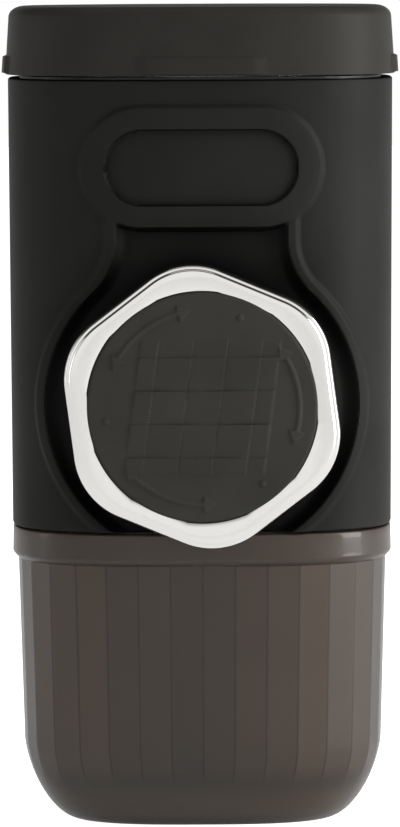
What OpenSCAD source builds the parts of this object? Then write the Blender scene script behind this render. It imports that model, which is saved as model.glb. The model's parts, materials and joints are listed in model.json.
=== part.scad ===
// Handheld manual espresso maker, stored upright on its drinking cup.
// Millimetres. +Z is up, the piston knob faces -Y, and the origin is the
// centre of the flat foot of the cup.

/* [Outline] */
// Width of the body at its top edge
body_w_top = 72.8; // [70:0.2:76]
// Width of the body at its bottom edge
body_w_bottom = 71.9; // [70:0.1:76]
// Depth of the body at its top edge
body_d_top = 62; // [61:0.2:66]
// Depth of the body at its bottom edge
body_d_bottom = 61.2; // [60.6:0.2:66]
// How square the plan is: 2 is an ellipse, more is squarer
outline_power = 3; // [2.6:0.1:3.4]
// Gap at each parting line between pieces that come apart
parting_gap = 0.3; // [0.2:0.05:0.5]

/* [Body shell] */
// Height of the body shell
shell_h = 84.3; // [82:0.1:90]
// Wall of the body shell
shell_wall = 2; // [1.6:0.1:2.2]
// Rounding of the shell's top and bottom edges
shell_edge_r = 0.4; // [0.2:0.1:1]
// Radius of the dish round the knob, to the outside of its ridge
dish_r = 31; // [29.5:0.1:31.5]
// Half width of the neck between dish and badge, to the outside of its ridge
neck_half_w = 18; // [16:0.1:19]
// Radius of the flare where the neck runs into the dish
flare_r = 12; // [8:0.5:16]
// Width of the ridge round the dish
ridge_w = 2.4; // [1.6:0.1:3]
// How far the ridge and badge frame stand out
ridge_h = 0.7; // [0.4:0.1:1]
// How far the dish floor is sunk
dish_depth = 1; // [0.5:0.1:1.2]
// Height of the badge's centre above the shell's bottom edge
badge_rise = 68; // [67:0.2:69]
// Width of the badge frame
badge_w = 45.5; // [42:0.5:48]
// Height of the badge frame
badge_h = 23.3; // [21:0.1:25]
// Width of the badge's sunk field
badge_field_w = 35.7; // [32:0.1:38]
// Height of the badge's sunk field
badge_field_h = 14; // [11:0.1:16]
// Depth of the badge's sunk field below its frame
badge_field_depth = 0.9; // [0.5:0.1:1.2]

/* [Tank] */
// Height of the neck that shows between body and cap
neck_gap = 0.7; // [0.6:0.1:1.6]
// Height of the tank cap
cap_h = 13; // [11:0.1:15]
// How far the cap's lower edge stands out past the body, per side
cap_overhang = 0.5; // [0:0.05:0.8]
// How far the cap's sides draw in from bottom to top, per side
cap_draft = 0.8; // [0:0.05:1]
// Height of the rounding at the cap's top edge
cap_edge_r = 2; // [1:0.1:2.6]
// How far that rounding draws in
cap_edge_in = 2.6; // [1:0.1:3]
// Rise of the cap's crowned top
cap_crown = 0.2; // [0.1:0.1:1]
// Wall of the cap
cap_wall = 1.8; // [1.4:0.1:2]
// Width of each finger lip on the cap
lip_w = 25; // [18:0.5:30]
// Height of each finger lip
lip_h = 3.4; // [2:0.1:4]
// How far each finger lip stands out
lip_out = 0.7; // [0.4:0.05:1]
// Outside diameter of the tank vessel
vessel_d = 53.4; // [51:0.2:53.6]
// Wall of the tank vessel
vessel_wall = 1.4; // [1.2:0.1:2]
// Length of the vessel below the shell's top edge, down to its mouth
vessel_drop = 34.6; // [32:0.2:35]
// Sliding clearance round the vessel, radial
vessel_clear = 0.4; // [0.3:0.05:0.5]
// Wall of the tank socket
socket_wall = 1.2; // [1:0.1:1.4]
// Thickness of the socket's floor
socket_floor = 2.4; // [1.8:0.1:2.6]
// Thickness of the tank's mouth seal
tank_seal_h = 1.8; // [1.4:0.1:2.2]
// Height of the socket's flange
socket_flange_h = 3; // [2:0.1:4]

/* [Pump] */
// Height of the piston axis above the shell's bottom edge
piston_rise = 23.9; // [23.6:0.1:24.4]
// Diameter of the pump bore
bore_d = 14; // [13:0.1:14.6]
// Wall of the pump barrel
barrel_wall = 3; // [2.4:0.1:3.2]
// Stroke of the piston
stroke = 16; // [14:0.5:16.5]
// Running clearance of the piston parts, radial
running_clear = 0.05; // [0.02:0.01:0.09]
// Distance of the chamber's closed end behind the body's centre
chamber_back = 22; // [21:0.1:22.5]
// Length of the piston head
head_l = 11; // [10:0.1:11.4]
// Diameter of the piston rod
rod_d = 11; // [10.6:0.1:11.4]
// Diameter of the spring pocket in the rod
pocket_d = 8.4; // [8:0.1:8.8]
// Depth of the spring pocket in the rod
pocket_l = 24; // [20:0.5:27]
// Diameter of the return spring's wire
spring_wire = 0.8; // [0.6:0.1:1]
// Diameter of the knob hub's skirt
skirt_d = 33; // [31:0.2:33.6]
// Wall of the knob hub's skirt
skirt_wall = 2; // [1.6:0.1:2.4]
// How far the bayonet lugs stand out of the skirt
lug_out = 1.7; // [1.3:0.1:1.8]
// Angle that each bayonet lug spans
lug_angle = 24; // [18:1:30]
// Thickness of a bayonet lug, along the piston
lug_t = 2.3; // [1.6:0.1:2.6]
// Thickness of the bayonet ring
bayonet_t = 2; // [1.6:0.1:3]
// Loose clearance between pieces that pass each other, radial
pass_clear = 0.3; // [0.25:0.05:0.4]
// Wall of the well that the skirt slides in
well_wall = 1.4; // [1.2:0.1:1.6]

/* [Piston knob] */
// Half the distance across the flats of the trim ring
ring_apothem = 24.8; // [23.8:0.1:25.6]
// Rounding radius of the ring's six corners
ring_corner_r = 13.5; // [9:0.1:15]
// How far the hexagon is turned from its symmetrical place
ring_turn = 7.5; // [0:0.5:30]
// Thickness of the trim ring
ring_t = 5; // [4:0.1:6]
// Diameter of the grip pad
pad_d = 43.1; // [41:0.1:44]
// Thickness of the grip pad at its rim
pad_t = 2.2; // [1.6:0.1:2.6]
// Rise of the pad's crown
pad_crown = 0.5; // [0.2:0.1:0.8]
// Gap between the knob and the body's front
knob_gap = 0.9; // [0.8:0.1:1.5]
// Width of one facet of the grip pattern
facet_w = 6.2; // [5:0.1:6.8]
// Height of one facet of the grip pattern
facet_h = 6.6; // [5:0.1:7]
// Step between neighbouring facets
facet_step = 0.4; // [0.2:0.05:0.6]
// Lean of the facet columns, degrees
facet_lean = 10; // [0:1:16]

/* [Brew group] */
// Thickness of the group deck
deck_t = 7; // [6:0.1:7.2]
// Outside diameter of the group spigot
spigot_d = 42; // [41:0.1:42.4]
// Wall of the group spigot
spigot_wall = 2.5; // [2.2:0.1:3]
// Length of the group spigot below the deck
spigot_l = 8.2; // [7.4:0.1:8.6]
// Length of the skirt that the cup pushes on
seat_l = 5.8; // [4:0.1:7]
// Wall of that skirt
seat_wall = 1.6; // [1.2:0.1:2]
// Inside diameter of the filter basket
basket_d = 36; // [34:0.2:36.4]
// Wall of the filter basket
basket_wall = 0.5; // [0.4:0.05:0.6]
// Depth of the filter basket
basket_depth = 17; // [15:0.2:17.6]
// Thickness of the outlet head's collar
collar_wall = 2.2; // [1.8:0.1:2.4]
// Floor of the outlet head
outlet_floor = 2; // [1.6:0.1:2.4]
// Number of grip ribs round the outlet head
rib_count = 24; // [12:2:36]
// Length of the nozzle below the outlet head
nozzle_l = 6; // [4:0.2:6.4]
// Diameter of the nozzle
nozzle_d = 11; // [9:0.2:12]

/* [Cup and scoop] */
// Height of the cup
cup_h = 55.4; // [55:0.2:58]
// Wall of the cup
cup_wall = 2.5; // [2.2:0.1:2.8]
// Thickness of the cup's floor
cup_floor = 11; // [10:0.2:11.4]
// Height of the smooth lip band
band_h = 5.2; // [4:0.1:7]
// How far the band draws in towards the cup's rim, per side
band_draft = 0.1; // [0:0.05:0.6]
// How far the facets step in below the band, per side
facet_inset = 1; // [0.6:0.05:1.2]
// How far the cup draws in from band to foot, per side
cup_draft = 1.4; // [0.6:0.05:1.6]
// Flat facets round the cup
cup_facets = 36; // [28:4:44]
// Height of the rounding at the cup's foot
foot_rise = 14.8; // [12:0.2:18]
// How far that rounding draws in at the sides
foot_in = 8.3; // [6:0.1:10]
// How far it draws in at the front and back
foot_in_d = 5.4; // [4:0.1:8]
// Fullness of that rounding: 1 is flat, 2 is an ellipse's quarter
foot_power = 1.6; // [1.3:0.1:2]
// Rim diameter of the scoop
scoop_d = 38; // [34:0.5:40]
// Height of the scoop
scoop_h = 8.6; // [7:0.1:8.8]
// Wall of the scoop
scoop_wall = 1.2; // [1:0.1:1.6]
// Reach of the scoop's handle past its rim
scoop_reach = 9; // [6:0.5:10]

/* [Hidden] */

eps = 0.01;
round_fn = 96;
small_fn = 32;

// Colours
shell_black = [0.15, 0.15, 0.14];
cap_black = [0.19, 0.18, 0.17];
inner_grey = [0.3, 0.3, 0.31];
satin = [0.84, 0.83, 0.8];
steel = [0.7, 0.71, 0.72];
smoke = [0.42, 0.38, 0.33, 0.75];
silicone = [0.55, 0.55, 0.53];
clear_grey = [0.6, 0.62, 0.63, 0.6];

// ---- heights, from the foot up
shell_z0 = cup_h + parting_gap;
shell_z1 = shell_z0 + shell_h;
cap_z0 = shell_z1 + neck_gap;
cap_z1 = cap_z0 + cap_h;
piston_z = shell_z0 + piston_rise;
badge_z = shell_z0 + badge_rise;

// ---- plan of the body at a height
function along(z, low, high) =
    low + (high - low) * (z - shell_z0) / shell_h;
function body_a(z) = along(z, body_w_bottom, body_w_top) / 2;
function body_b(z) = along(z, body_d_bottom, body_d_top) / 2;

// ---- one outline with points an equal distance apart, scaled to every ring
outline_n = 2 * cup_facets;
arc_steps = 720;
function signed_pow(v, p) = sign(v) * pow(abs(v), p);
function plan_point(t) =
    [signed_pow(cos(t), 2 / outline_power), signed_pow(sin(t), 2 / outline_power)];
function plan_step(i) =
    let (p = plan_point(i * 360 / arc_steps - 90),
         q = plan_point((i + 1) * 360 / arc_steps - 90))
    norm([(q.x - p.x) * body_a(shell_z0), (q.y - p.y) * body_b(shell_z0)]);
arc_table = [
    for (i = 0, s = 0; i <= arc_steps; s = s + plan_step(i), i = i + 1)
        [s, i * 360 / arc_steps - 90]
];
arc_total = arc_table[arc_steps][0];
outline = [
    for (k = [0:outline_n - 1]) plan_point(lookup(arc_total * k / outline_n, arc_table))
];

function ring_at(a, b, z) = [for (p = outline) [p.x * a, p.y * b, z]];
// The same ring with flat facets: every second point lies on a chord.
function flat_ring_at(a, b, z) =
    let (r = ring_at(a, b, z))
    [
        for (k = [0:outline_n - 1])
            k % 2 == 0 ? r[k] : (r[k - 1] + r[(k + 1) % outline_n]) / 2
    ];
// Part way from the faceted ring to the smooth one.
function mixed_ring_at(a, b, z, smooth) =
    let (r = ring_at(a, b, z), f = flat_ring_at(a, b, z))
    [for (k = [0:outline_n - 1]) f[k] + (r[k] - f[k]) * smooth];

// Skin over a stack of rings that have the same number of points.
module loft(rings) {
    n = len(rings[0]);
    m = len(rings);
    polyhedron(
        points = [for (r = rings) each r],
        faces = concat(
            [[for (i = [0:n - 1]) i]],
            [[for (i = [n - 1:-1:0]) (m - 1) * n + i]],
            [
                for (j = [0:m - 2], i = [0:n - 1])
                    [j * n + i, (j + 1) * n + i, (j + 1) * n + (i + 1) % n]
            ],
            [
                for (j = [0:m - 2], i = [0:n - 1])
                    [j * n + i, (j + 1) * n + (i + 1) % n, j * n + (i + 1) % n]
            ]
        )
    );
}

// The body's plan between two heights, grown outwards by grow.
module body_slab(z0, z1, grow) {
    loft([
        ring_at(body_a(z0) + grow, body_b(z0) + grow, z0),
        ring_at(body_a(z1) + grow, body_b(z1) + grow, z1)
    ]);
}

// Children drawn in plan (x, height) and run out through the body's front.
front_in = 12;
front_out = 10;
module through_front() {
    translate([0, -body_b(piston_z) + front_in, 0])
        rotate([90, 0, 0])
            linear_extrude(front_in + front_out)
                children();
}

// Children built along +Z here lie along the piston, outwards from the body.
module along_piston() {
    translate([0, 0, piston_z]) rotate([90, 0, 0]) children();
}

module tube(r_out, r_in, z0, z1, fn = round_fn) {
    translate([0, 0, z0])
        difference() {
            cylinder(r = r_out, h = z1 - z0, $fn = fn);
            translate([0, 0, -eps])
                cylinder(r = r_in, h = z1 - z0 + 2 * eps, $fn = fn);
        }
}

module disc(r, z0, z1, fn = round_fn) {
    translate([0, 0, z0]) cylinder(r = r, h = z1 - z0, $fn = fn);
}

// ---- tank cap and vessel
pocket_r = vessel_d / 2;
cap_floor_z = cap_z1 - cap_crown - cap_wall;
vessel_z0 = shell_z1 - vessel_drop;
vessel_z1 = cap_floor_z - 1;
function cap_a(z) =
    body_a(shell_z1) + cap_overhang - cap_draft * (z - cap_z0) / cap_h;
function cap_b(z) =
    body_b(shell_z1) + cap_overhang - cap_draft * (z - cap_z0) / cap_h;
cap_rim_z = cap_z1 - cap_crown;
edge_steps = 5;
crown_steps = 4;

function cap_rings() =
    concat(
        [ring_at(cap_a(cap_z0), cap_b(cap_z0), cap_z0)],
        [
            for (i = [0:edge_steps])
                let (t = 90 * i / edge_steps,
                     z = cap_rim_z - cap_edge_r * (1 - sin(t)),
                     d = cap_edge_in * (1 - cos(t)))
                ring_at(cap_a(z) - d, cap_b(z) - d, z)
        ],
        [
            for (i = [1:crown_steps])
                let (s = 1 - i / (crown_steps + 0.5),
                     a = cap_a(cap_rim_z) - cap_edge_in,
                     b = cap_b(cap_rim_z) - cap_edge_in)
                ring_at(a * s, b * s, cap_rim_z + cap_crown * (1 - s * s))
        ]
    );

lip_rise = 0.15;
cap_rib_t = 1.4;
vent_notch_w = 3;
module cap_lips() {
    z0 = cap_z0 + lip_rise;
    z1 = z0 + lip_h;
    intersection() {
        loft([
            ring_at(cap_a(z0) + lip_out, cap_b(z0) + lip_out, z0),
            ring_at(cap_a(z1) + lip_out, cap_b(z1) + lip_out, z1)
        ]);
        union() {
            translate([-lip_w / 2, -body_d_top, z0]) cube([lip_w, 2 * body_d_top, lip_h]);
            translate([-body_w_top, -lip_w / 2, z0]) cube([2 * body_w_top, lip_w, lip_h]);
        }
    }
}

module cap_hollow() {
    difference() {
        loft([
            ring_at(cap_a(cap_z0) - cap_wall, cap_b(cap_z0) - cap_wall, cap_z0 - eps),
            ring_at(cap_a(cap_floor_z) - cap_wall, cap_b(cap_floor_z) - cap_wall, cap_floor_z)
        ]);
        disc(pocket_r + cap_wall, cap_z0 - 1, cap_z1);
        for (turn = [22.5:45:337.5])
            rotate([0, 0, turn])
                translate([0, -cap_rib_t / 2, cap_z0 - 1])
                    cube([body_w_top, cap_rib_t, cap_h + 1]);
    }
}

module tank_cap() {
    color(cap_black)
        difference() {
            union() {
                loft(cap_rings());
                cap_lips();
            }
            cap_hollow();
            disc(pocket_r, cap_z0 - 1, cap_floor_z);
            translate([pocket_r - 1, -vent_notch_w / 2, cap_z0 - 1])
                cube([cap_wall + 2, vent_notch_w, 3]);
        }
}

vent_r = 1.5;
mouth_bead = 0.25;
vessel_r = vessel_d / 2;
vessel_corner = 2.5;
module tank_vessel() {
    color(clear_grey)
        difference() {
            rotate_extrude($fn = round_fn)
                polygon([
                    [0, vessel_z1],
                    [vessel_r - vessel_corner, vessel_z1],
                    [vessel_r, vessel_z1 - vessel_corner],
                    [vessel_r, vessel_z0],
                    [vessel_r - vessel_wall, vessel_z0],
                    [vessel_r - vessel_wall, vessel_z1 - vessel_corner - vessel_wall / 2],
                    [vessel_r - vessel_corner - vessel_wall / 2, vessel_z1 - vessel_wall],
                    [0, vessel_z1 - vessel_wall]
                ]);
            disc(vent_r, vessel_z1 - 2 * vessel_wall, vessel_z1 + 1, small_fn);
        }
}

// Umbrella valve that lets air in as the tank empties.
vent_head_r = 3.2;
vent_head_t = 0.6;
module vent_valve() {
    color(silicone) {
        disc(vent_r, vessel_z1 - vessel_wall, vessel_z1 + eps, small_fn);
        disc(vent_head_r, vessel_z1, vessel_z1 + vent_head_t, small_fn);
        translate([0, 0, vessel_z1 - vessel_wall - vent_r])
            cylinder(r1 = vent_r / 2, r2 = vent_r * 1.3, h = vent_r, $fn = small_fn);
    }
}

seal_r_out = vessel_r + vessel_clear - 0.1;
seal_r_in = vessel_r - vessel_wall - 1.2;
socket_floor_z = vessel_z0 - tank_seal_h;
module tank_seal() {
    color(silicone) tube(seal_r_out, seal_r_in, socket_floor_z, vessel_z0);
}

// ---- tank socket, with the posts that stand on the group deck
socket_r_in = vessel_r + vessel_clear;
socket_r_out = socket_r_in + socket_wall;
socket_z0 = socket_floor_z - socket_floor;
socket_z1 = cap_z0 - parting_gap;
inner_clear = 0.15;
post_r = 3.5;
post_at = [[27, 10], [-27, 10], [25, -15], [-25, -15]];
deck_top = shell_z0 + deck_t;
screw_r = 1.25;
screw_len = 10;
inlet_y = 19.5;
inlet_port_r = 2.2;
module tank_socket() {
    color(inner_grey)
        difference() {
            union() {
                disc(socket_r_out, socket_z0, socket_z1);
                body_slab(socket_z1 - socket_flange_h, socket_z1, -shell_wall - inner_clear);
                for (p = post_at)
                    translate([p.x, p.y, 0])
                        disc(post_r, deck_top, socket_z1 - socket_flange_h + eps, small_fn);
            }
            disc(socket_r_in, socket_floor_z, socket_z1 + 1);
            translate([0, inlet_y, 0])
                disc(inlet_port_r, socket_z0 - 1, socket_floor_z + 1, small_fn);
            for (p = post_at)
                translate([p.x, p.y, 0])
                    disc(screw_r, deck_top - 1, deck_top + screw_len, small_fn);
        }
}

// ---- body shell
arc_n = 5;
function arc(cx, cy, r, from, to, n) =
    [for (i = [0:n]) let (t = from + (to - from) * i / n) [cx + r * cos(t), cy + r * sin(t)]];

// Keyhole outline of the dish and neck, drawn in by inset.
module keyhole(inset) {
    r = dish_r - inset;
    w = neck_half_w - inset;
    f = flare_r + inset;
    fx = w + f;
    rise = sqrt(pow(r + f, 2) - pow(fx, 2));
    meet = atan2(rise, fx);
    top = badge_z;
    polygon(concat(
        [[w, top]],
        arc(fx, piston_z + rise, f, 180, 180 + meet, arc_n),
        arc(0, piston_z, r, meet, -180 - meet, 48),
        arc(-fx, piston_z + rise, f, -meet, 0, arc_n),
        [[-w, top]]
    ));
}

module obround(w, h) {
    polygon(concat(
        arc(w / 2 - h / 2, badge_z, h / 2, -90, 90, 14),
        arc(h / 2 - w / 2, badge_z, h / 2, 90, 270, 14)
    ));
}

shell_edge_steps = 3;
function shell_edge_ring(z, t) =
    let (d = shell_edge_r * (1 - cos(t))) ring_at(body_a(z) - d, body_b(z) - d, z);
function shell_rings() =
    concat(
        [
            for (i = [shell_edge_steps:-1:0])
                let (t = 90 * i / shell_edge_steps)
                shell_edge_ring(shell_z0 + shell_edge_r * (1 - sin(t)), t)
        ],
        [
            for (i = [0:shell_edge_steps])
                let (t = 90 * i / shell_edge_steps)
                shell_edge_ring(shell_z1 - shell_edge_r * (1 - sin(t)), t)
        ]
    );

well_r_in = skirt_d / 2 + lug_out + pass_clear;
well_r_out = well_r_in + well_wall;

// Ledges inside the shell's sides: the deck's top carries the lower ones and
// the socket's flange sits on the upper ones.
ledge_w = 0.8;
ledge_h = 1.5;
ledge_l = 24;
ledge_gap = 0.1;
ledge_at = [
    deck_top + ledge_gap,
    socket_z1 - socket_flange_h - ledge_gap - ledge_h
];
module shell_ledges() {
    for (z = ledge_at)
        difference() {
            intersection() {
                body_slab(z, z + ledge_h, -shell_wall + eps);
                translate([-body_w_top, -ledge_l / 2, z - 1])
                    cube([2 * body_w_top, ledge_l, ledge_h + 2]);
            }
            body_slab(z - 1, z + ledge_h + 1, -shell_wall - ledge_w);
        }
}

module body_shell() {
    color(shell_black)
        difference() {
            union() {
                loft(shell_rings());
                intersection() {
                    body_slab(shell_z0 + shell_edge_r, shell_z1 - shell_edge_r, ridge_h);
                    through_front() {
                        difference() {
                            keyhole(0);
                            keyhole(ridge_w);
                        }
                        obround(badge_w, badge_h);
                    }
                }
            }
            difference() {
                through_front()
                    difference() {
                        keyhole(ridge_w);
                        obround(badge_w, badge_h);
                    }
                body_slab(shell_z0 - 1, shell_z1, -dish_depth);
            }
            difference() {
                through_front() obround(badge_field_w, badge_field_h);
                body_slab(shell_z0, shell_z1, ridge_h - badge_field_depth);
            }
            difference() {
                body_slab(shell_z0 - 1, shell_z1 + 1, -shell_wall);
                shell_ledges();
            }
            along_piston() disc(well_r_out, chamber_back - 4, 2 * body_d_top);
        }
}

// ---- pump body: barrel, well for the knob's skirt, and valve bosses
barrel_r = bore_d / 2 + barrel_wall;
chamber_u0 = -chamber_back;
end_wall = 2.6;
head_gap = 0.5;
head_u0 = chamber_u0 + head_gap;
head_u1 = head_u0 + head_l;
gland_u0 = head_u1 + stroke + head_gap;
gland_l = 4;
barrel_u1 = gland_u0 + gland_l;
well_floor_t = 1.5;
well_u0 = barrel_u1 - well_floor_t;
front_u = body_b(piston_z) - dish_depth;
boss_r = 4.6;
outlet_bore_r = 2.8;
port_r = 1.2;
foot_at = [[8, -4], [-8, -4]];
seat_gap = 0.4;
ball_r = 2.4;
ball_z = piston_z - barrel_r - ball_r - seat_gap;
seat_lift = 0.04;
valve_seat_z = ball_z + sqrt(pow(ball_r, 2) - pow(port_r, 2)) + seat_lift;

module pump_body() {
    color(inner_grey)
        difference() {
            union() {
                along_piston() {
                    disc(barrel_r, chamber_u0 - end_wall, barrel_u1);
                    disc(well_r_out, well_u0, front_u);
                }
                translate([0, inlet_y, 0])
                    disc(boss_r, deck_top, socket_z0, small_fn);
                for (p = foot_at)
                    translate([p.x, p.y, 0]) disc(post_r, deck_top, piston_z, small_fn);
            }
            along_piston() {
                disc(bore_d / 2, chamber_u0, barrel_u1 + 1);
                difference() {
                    disc(well_r_in, well_u0 + well_floor_t, front_u + 1);
                    disc(barrel_r, well_u0, barrel_u1);
                }
            }
            translate([0, inlet_y, 0]) {
                disc(port_r, ball_z, piston_z + barrel_r + 2, small_fn);
                disc(inlet_port_r, piston_z + barrel_r + 1, socket_z0 + 1, small_fn);
                disc(outlet_bore_r, deck_top - 1, valve_seat_z, small_fn);
            }
            for (p = foot_at)
                translate([p.x, p.y, 0])
                    disc(screw_r, deck_top - 1, deck_top + screw_len - 2, small_fn);
        }
}

// Flanged bush that closes the barrel's mouth and guides the rod.
gland_flange = 1.2;
module rod_gland() {
    color(silicone)
        along_piston()
            difference() {
                union() {
                    disc(bore_d / 2, gland_u0, barrel_u1);
                    disc(barrel_r - 0.5, barrel_u1, barrel_u1 + gland_flange);
                }
                disc(rod_d / 2 + running_clear, gland_u0 - 1, barrel_u1 + gland_flange + 1);
            }
}

// ---- bayonet: the skirt's lugs pass the slots, then turn behind the ring
skirt_u0 = barrel_u1 + 0.6;
lug_gap = 0.5;
bayonet_u0 = skirt_u0 + lug_t + lug_gap;
slot_spare = 4;
module sector(r_in, r_out, span, u0, u1) {
    translate([0, 0, u0])
        linear_extrude(u1 - u0)
            polygon(concat(
                arc(0, 0, r_out, -span / 2, span / 2, 6),
                arc(0, 0, r_in, span / 2, -span / 2, 6)
            ));
}

module bayonet_ring() {
    color(steel)
        along_piston()
            difference() {
                tube(well_r_in, skirt_d / 2 + pass_clear, bayonet_u0, bayonet_u0 + bayonet_t);
                for (turn = [90:120:330])
                    rotate([0, 0, turn])
                        sector(skirt_d / 2 - 1, well_r_in - 0.1, lug_angle + 2 * slot_spare,
                            bayonet_u0 - 1, bayonet_u0 + bayonet_t + 1);
            }
}

// ---- piston
seal_u0 = head_u1 - 4.4;
seal_t = 2.4;
seal_groove_r = bore_d / 2 - 1.6;
nose_l = 3.5;
nose_r = bore_d / 2 - 1.8;
pocket_u1 = head_u0 + pocket_l;
knob_u0 = body_b(piston_z) + knob_gap;
flange_t = 3;
hub_boss_l = 5.4;
rod_u1 = knob_u0;
screw_shoulder_r = 2.5;
screw_tip_r = 2;
module piston_rod() {
    color(steel)
        along_piston()
            difference() {
                union() {
                    disc(nose_r, head_u0, head_u0 + nose_l);
                    disc(bore_d / 2 - running_clear, head_u0 + nose_l, head_u1);
                    disc(rod_d / 2, head_u1, rod_u1);
                }
                disc(pocket_d / 2, head_u0 - 1, pocket_u1);
                tube(bore_d, seal_groove_r, seal_u0, seal_u0 + seal_t);
                disc(screw_tip_r, rod_u1 - screw_grip, rod_u1 + 1, small_fn);
            }
}

module piston_seal() {
    color([0.12, 0.12, 0.12])
        along_piston()
            tube(bore_d / 2 - running_clear / 2, seal_groove_r, seal_u0, seal_u0 + seal_t);
}

// A wire wound along +Z between two heights, as one unbroken tube.
module coil_spring(r, wire_r, z0, z1, turns, per_turn, sides) {
    n = turns * per_turn;
    pitch = (z1 - z0 - 2 * wire_r) / turns;
    lean = atan2(pitch, 2 * PI * r);
    function wire_ring(i) =
        let (t = 360 * i / per_turn, z = z0 + wire_r + pitch * i / per_turn)
        [
            for (k = [0:sides - 1])
                let (v = 360 * k / sides, u = wire_r * cos(v), w = wire_r * sin(v))
                [
                    (r + u) * cos(t) + w * sin(lean) * sin(t),
                    (r + u) * sin(t) - w * sin(lean) * cos(t),
                    z + w * cos(lean)
                ]
        ];
    rings = [for (i = [0:n]) wire_ring(i)];
    polyhedron(
        points = [for (g = rings) each g],
        faces = concat(
            [[for (k = [sides - 1:-1:0]) k]],
            [[for (k = [0:sides - 1]) n * sides + k]],
            [
                for (i = [0:n - 1], k = [0:sides - 1])
                    [i * sides + k, i * sides + (k + 1) % sides, (i + 1) * sides + k]
            ],
            [
                for (i = [0:n - 1], k = [0:sides - 1])
                    [
                        i * sides + (k + 1) % sides,
                        (i + 1) * sides + (k + 1) % sides,
                        (i + 1) * sides + k
                    ]
            ]
        )
    );
}

module piston_spring() {
    wire = spring_wire / 2;
    color(steel)
        along_piston()
            coil_spring(pocket_d / 2 - wire - 0.25, wire, chamber_u0 + 0.1, pocket_u1 - 0.1, 11, 10, 6);
}

// ---- knob
pad_r = pad_d / 2;
hub_u1 = knob_u0 + flange_t;
skirt_r = skirt_d / 2;
screw_head_r = 4.4;
screw_head_t = 1.6;
screw_grip = 10;
screw_head_u0 = hub_u1 - screw_head_t - 0.2;
module knob_hub() {
    color(inner_grey)
        along_piston()
            difference() {
                union() {
                    disc(pad_r, knob_u0, hub_u1);
                    tube(skirt_r, skirt_r - skirt_wall, skirt_u0, knob_u0 + eps);
                    disc(rod_d / 2 + 2.5, knob_u0 - hub_boss_l, knob_u0 + eps, round_fn);
                    for (turn = [90:120:330])
                        rotate([0, 0, turn])
                            sector(skirt_r - skirt_wall / 2, skirt_r + lug_out, lug_angle,
                                skirt_u0, skirt_u0 + lug_t);
                }
                disc(rod_d / 2 + running_clear, knob_u0 - hub_boss_l - 1, knob_u0);
                disc(screw_shoulder_r + running_clear, knob_u0 - 1, hub_u1 + 1, small_fn);
                disc(screw_head_r + pass_clear, screw_head_u0, hub_u1 + 1);
            }
}

module knob_screw() {
    color(steel)
        along_piston()
            difference() {
                union() {
                    disc(screw_tip_r, rod_u1 - screw_grip, rod_u1, small_fn);
                    disc(screw_shoulder_r, rod_u1, screw_head_u0, small_fn);
                    disc(screw_head_r, screw_head_u0, screw_head_u0 + screw_head_t);
                }
                disc(1.5, screw_head_u0 + 0.4, hub_u1 + 1, 6);
            }
}

hex_corner_at = (ring_apothem - ring_corner_r) / cos(30);
hex_arc_n = 9;
function hex_ring(inset, u) = [
    for (k = [0:5], i = [0:hex_arc_n])
        let (corner = 60 * k + 30 + ring_turn,
             t = corner - 30 + 60 * i / hex_arc_n,
             r = ring_corner_r - inset)
        [hex_corner_at * cos(corner) + r * cos(t), hex_corner_at * sin(corner) + r * sin(t), u]
];

ring_u0 = knob_u0;
ring_u1 = ring_u0 + ring_t;
ring_roll = 1.5;
roll_steps = 4;
module knob_ring() {
    color(satin)
        along_piston()
            difference() {
                loft(concat(
                    [
                        for (i = [roll_steps:-1:0])
                            let (t = 90 * i / roll_steps)
                            hex_ring(ring_roll * (1 - cos(t)), ring_u0 + ring_roll * (1 - sin(t)))
                    ],
                    [
                        for (i = [0:roll_steps])
                            let (t = 90 * i / roll_steps)
                            hex_ring(2 * ring_roll * (1 - cos(t)), ring_u1 - ring_roll * (1 - sin(t)))
                    ]
                ));
                disc(pad_r, ring_u0 - 1, ring_u1 + 1);
            }
}

// Leaning saw-tooth facets: each cell rises from its left edge to its right.
facet_rows = 4;
facet_cols = 4;
facet_low = 0.06;
facet_split = 0.02;
module facet(col, row) {
    shear = tan(facet_lean);
    y0 = (row - facet_rows / 2) * facet_h;
    y1 = y0 + facet_h - facet_split;
    x0 = (col - facet_cols / 2) * facet_w;
    x1 = x0 + facet_w - facet_split;
    function put(x, y, h) = [x + y * shear, y, h];
    polyhedron(
        points = [
            put(x0, y0, -1), put(x1, y0, -1), put(x1, y1, -1), put(x0, y1, -1),
            put(x0, y0, facet_low), put(x1, y0, facet_step),
            put(x1, y1, facet_step / 2), put(x0, y1, facet_low)
        ],
        faces = [
            [0, 1, 2], [0, 2, 3], [4, 6, 5], [4, 7, 6],
            [0, 5, 1], [0, 4, 5], [1, 5, 6], [1, 6, 2],
            [2, 6, 7], [2, 7, 3], [3, 7, 4], [3, 4, 0]
        ]
    );
}

pad_round = 3;
pad_steps = 5;
module knob_pad() {
    face_u = hub_u1 + pad_t + pad_crown;
    color([0.16, 0.16, 0.15])
        along_piston() {
            rotate_extrude($fn = round_fn)
                polygon(concat(
                    [[0, hub_u1], [pad_r, hub_u1]],
                    [
                        for (i = [0:pad_steps])
                            let (t = 90 * i / pad_steps)
                            [pad_r - pad_round * (1 - cos(t)), face_u - pad_crown * (1 - sin(t))]
                    ],
                    [[0, face_u]]
                ));
            for (col = [0:facet_cols - 1], row = [0:facet_rows - 1])
                translate([0, 0, face_u]) facet(col, row);
        }
}

// ---- outlet valve: a sprung ball under the barrel
module outlet_valve_ball() {
    color(steel) translate([0, inlet_y, ball_z]) sphere(r = ball_r, $fn = small_fn);
}

channel_r = 1.5;
channel_z = shell_z0 + 3.6;
spring_floor_z = channel_z - channel_r;
module outlet_valve_spring() {
    wire = 0.25;
    color(steel)
        translate([0, inlet_y, 0])
            coil_spring(1.6, wire, spring_floor_z + 0.1, ball_z - ball_r - 0.02, 4, 10, 6);
}

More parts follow.
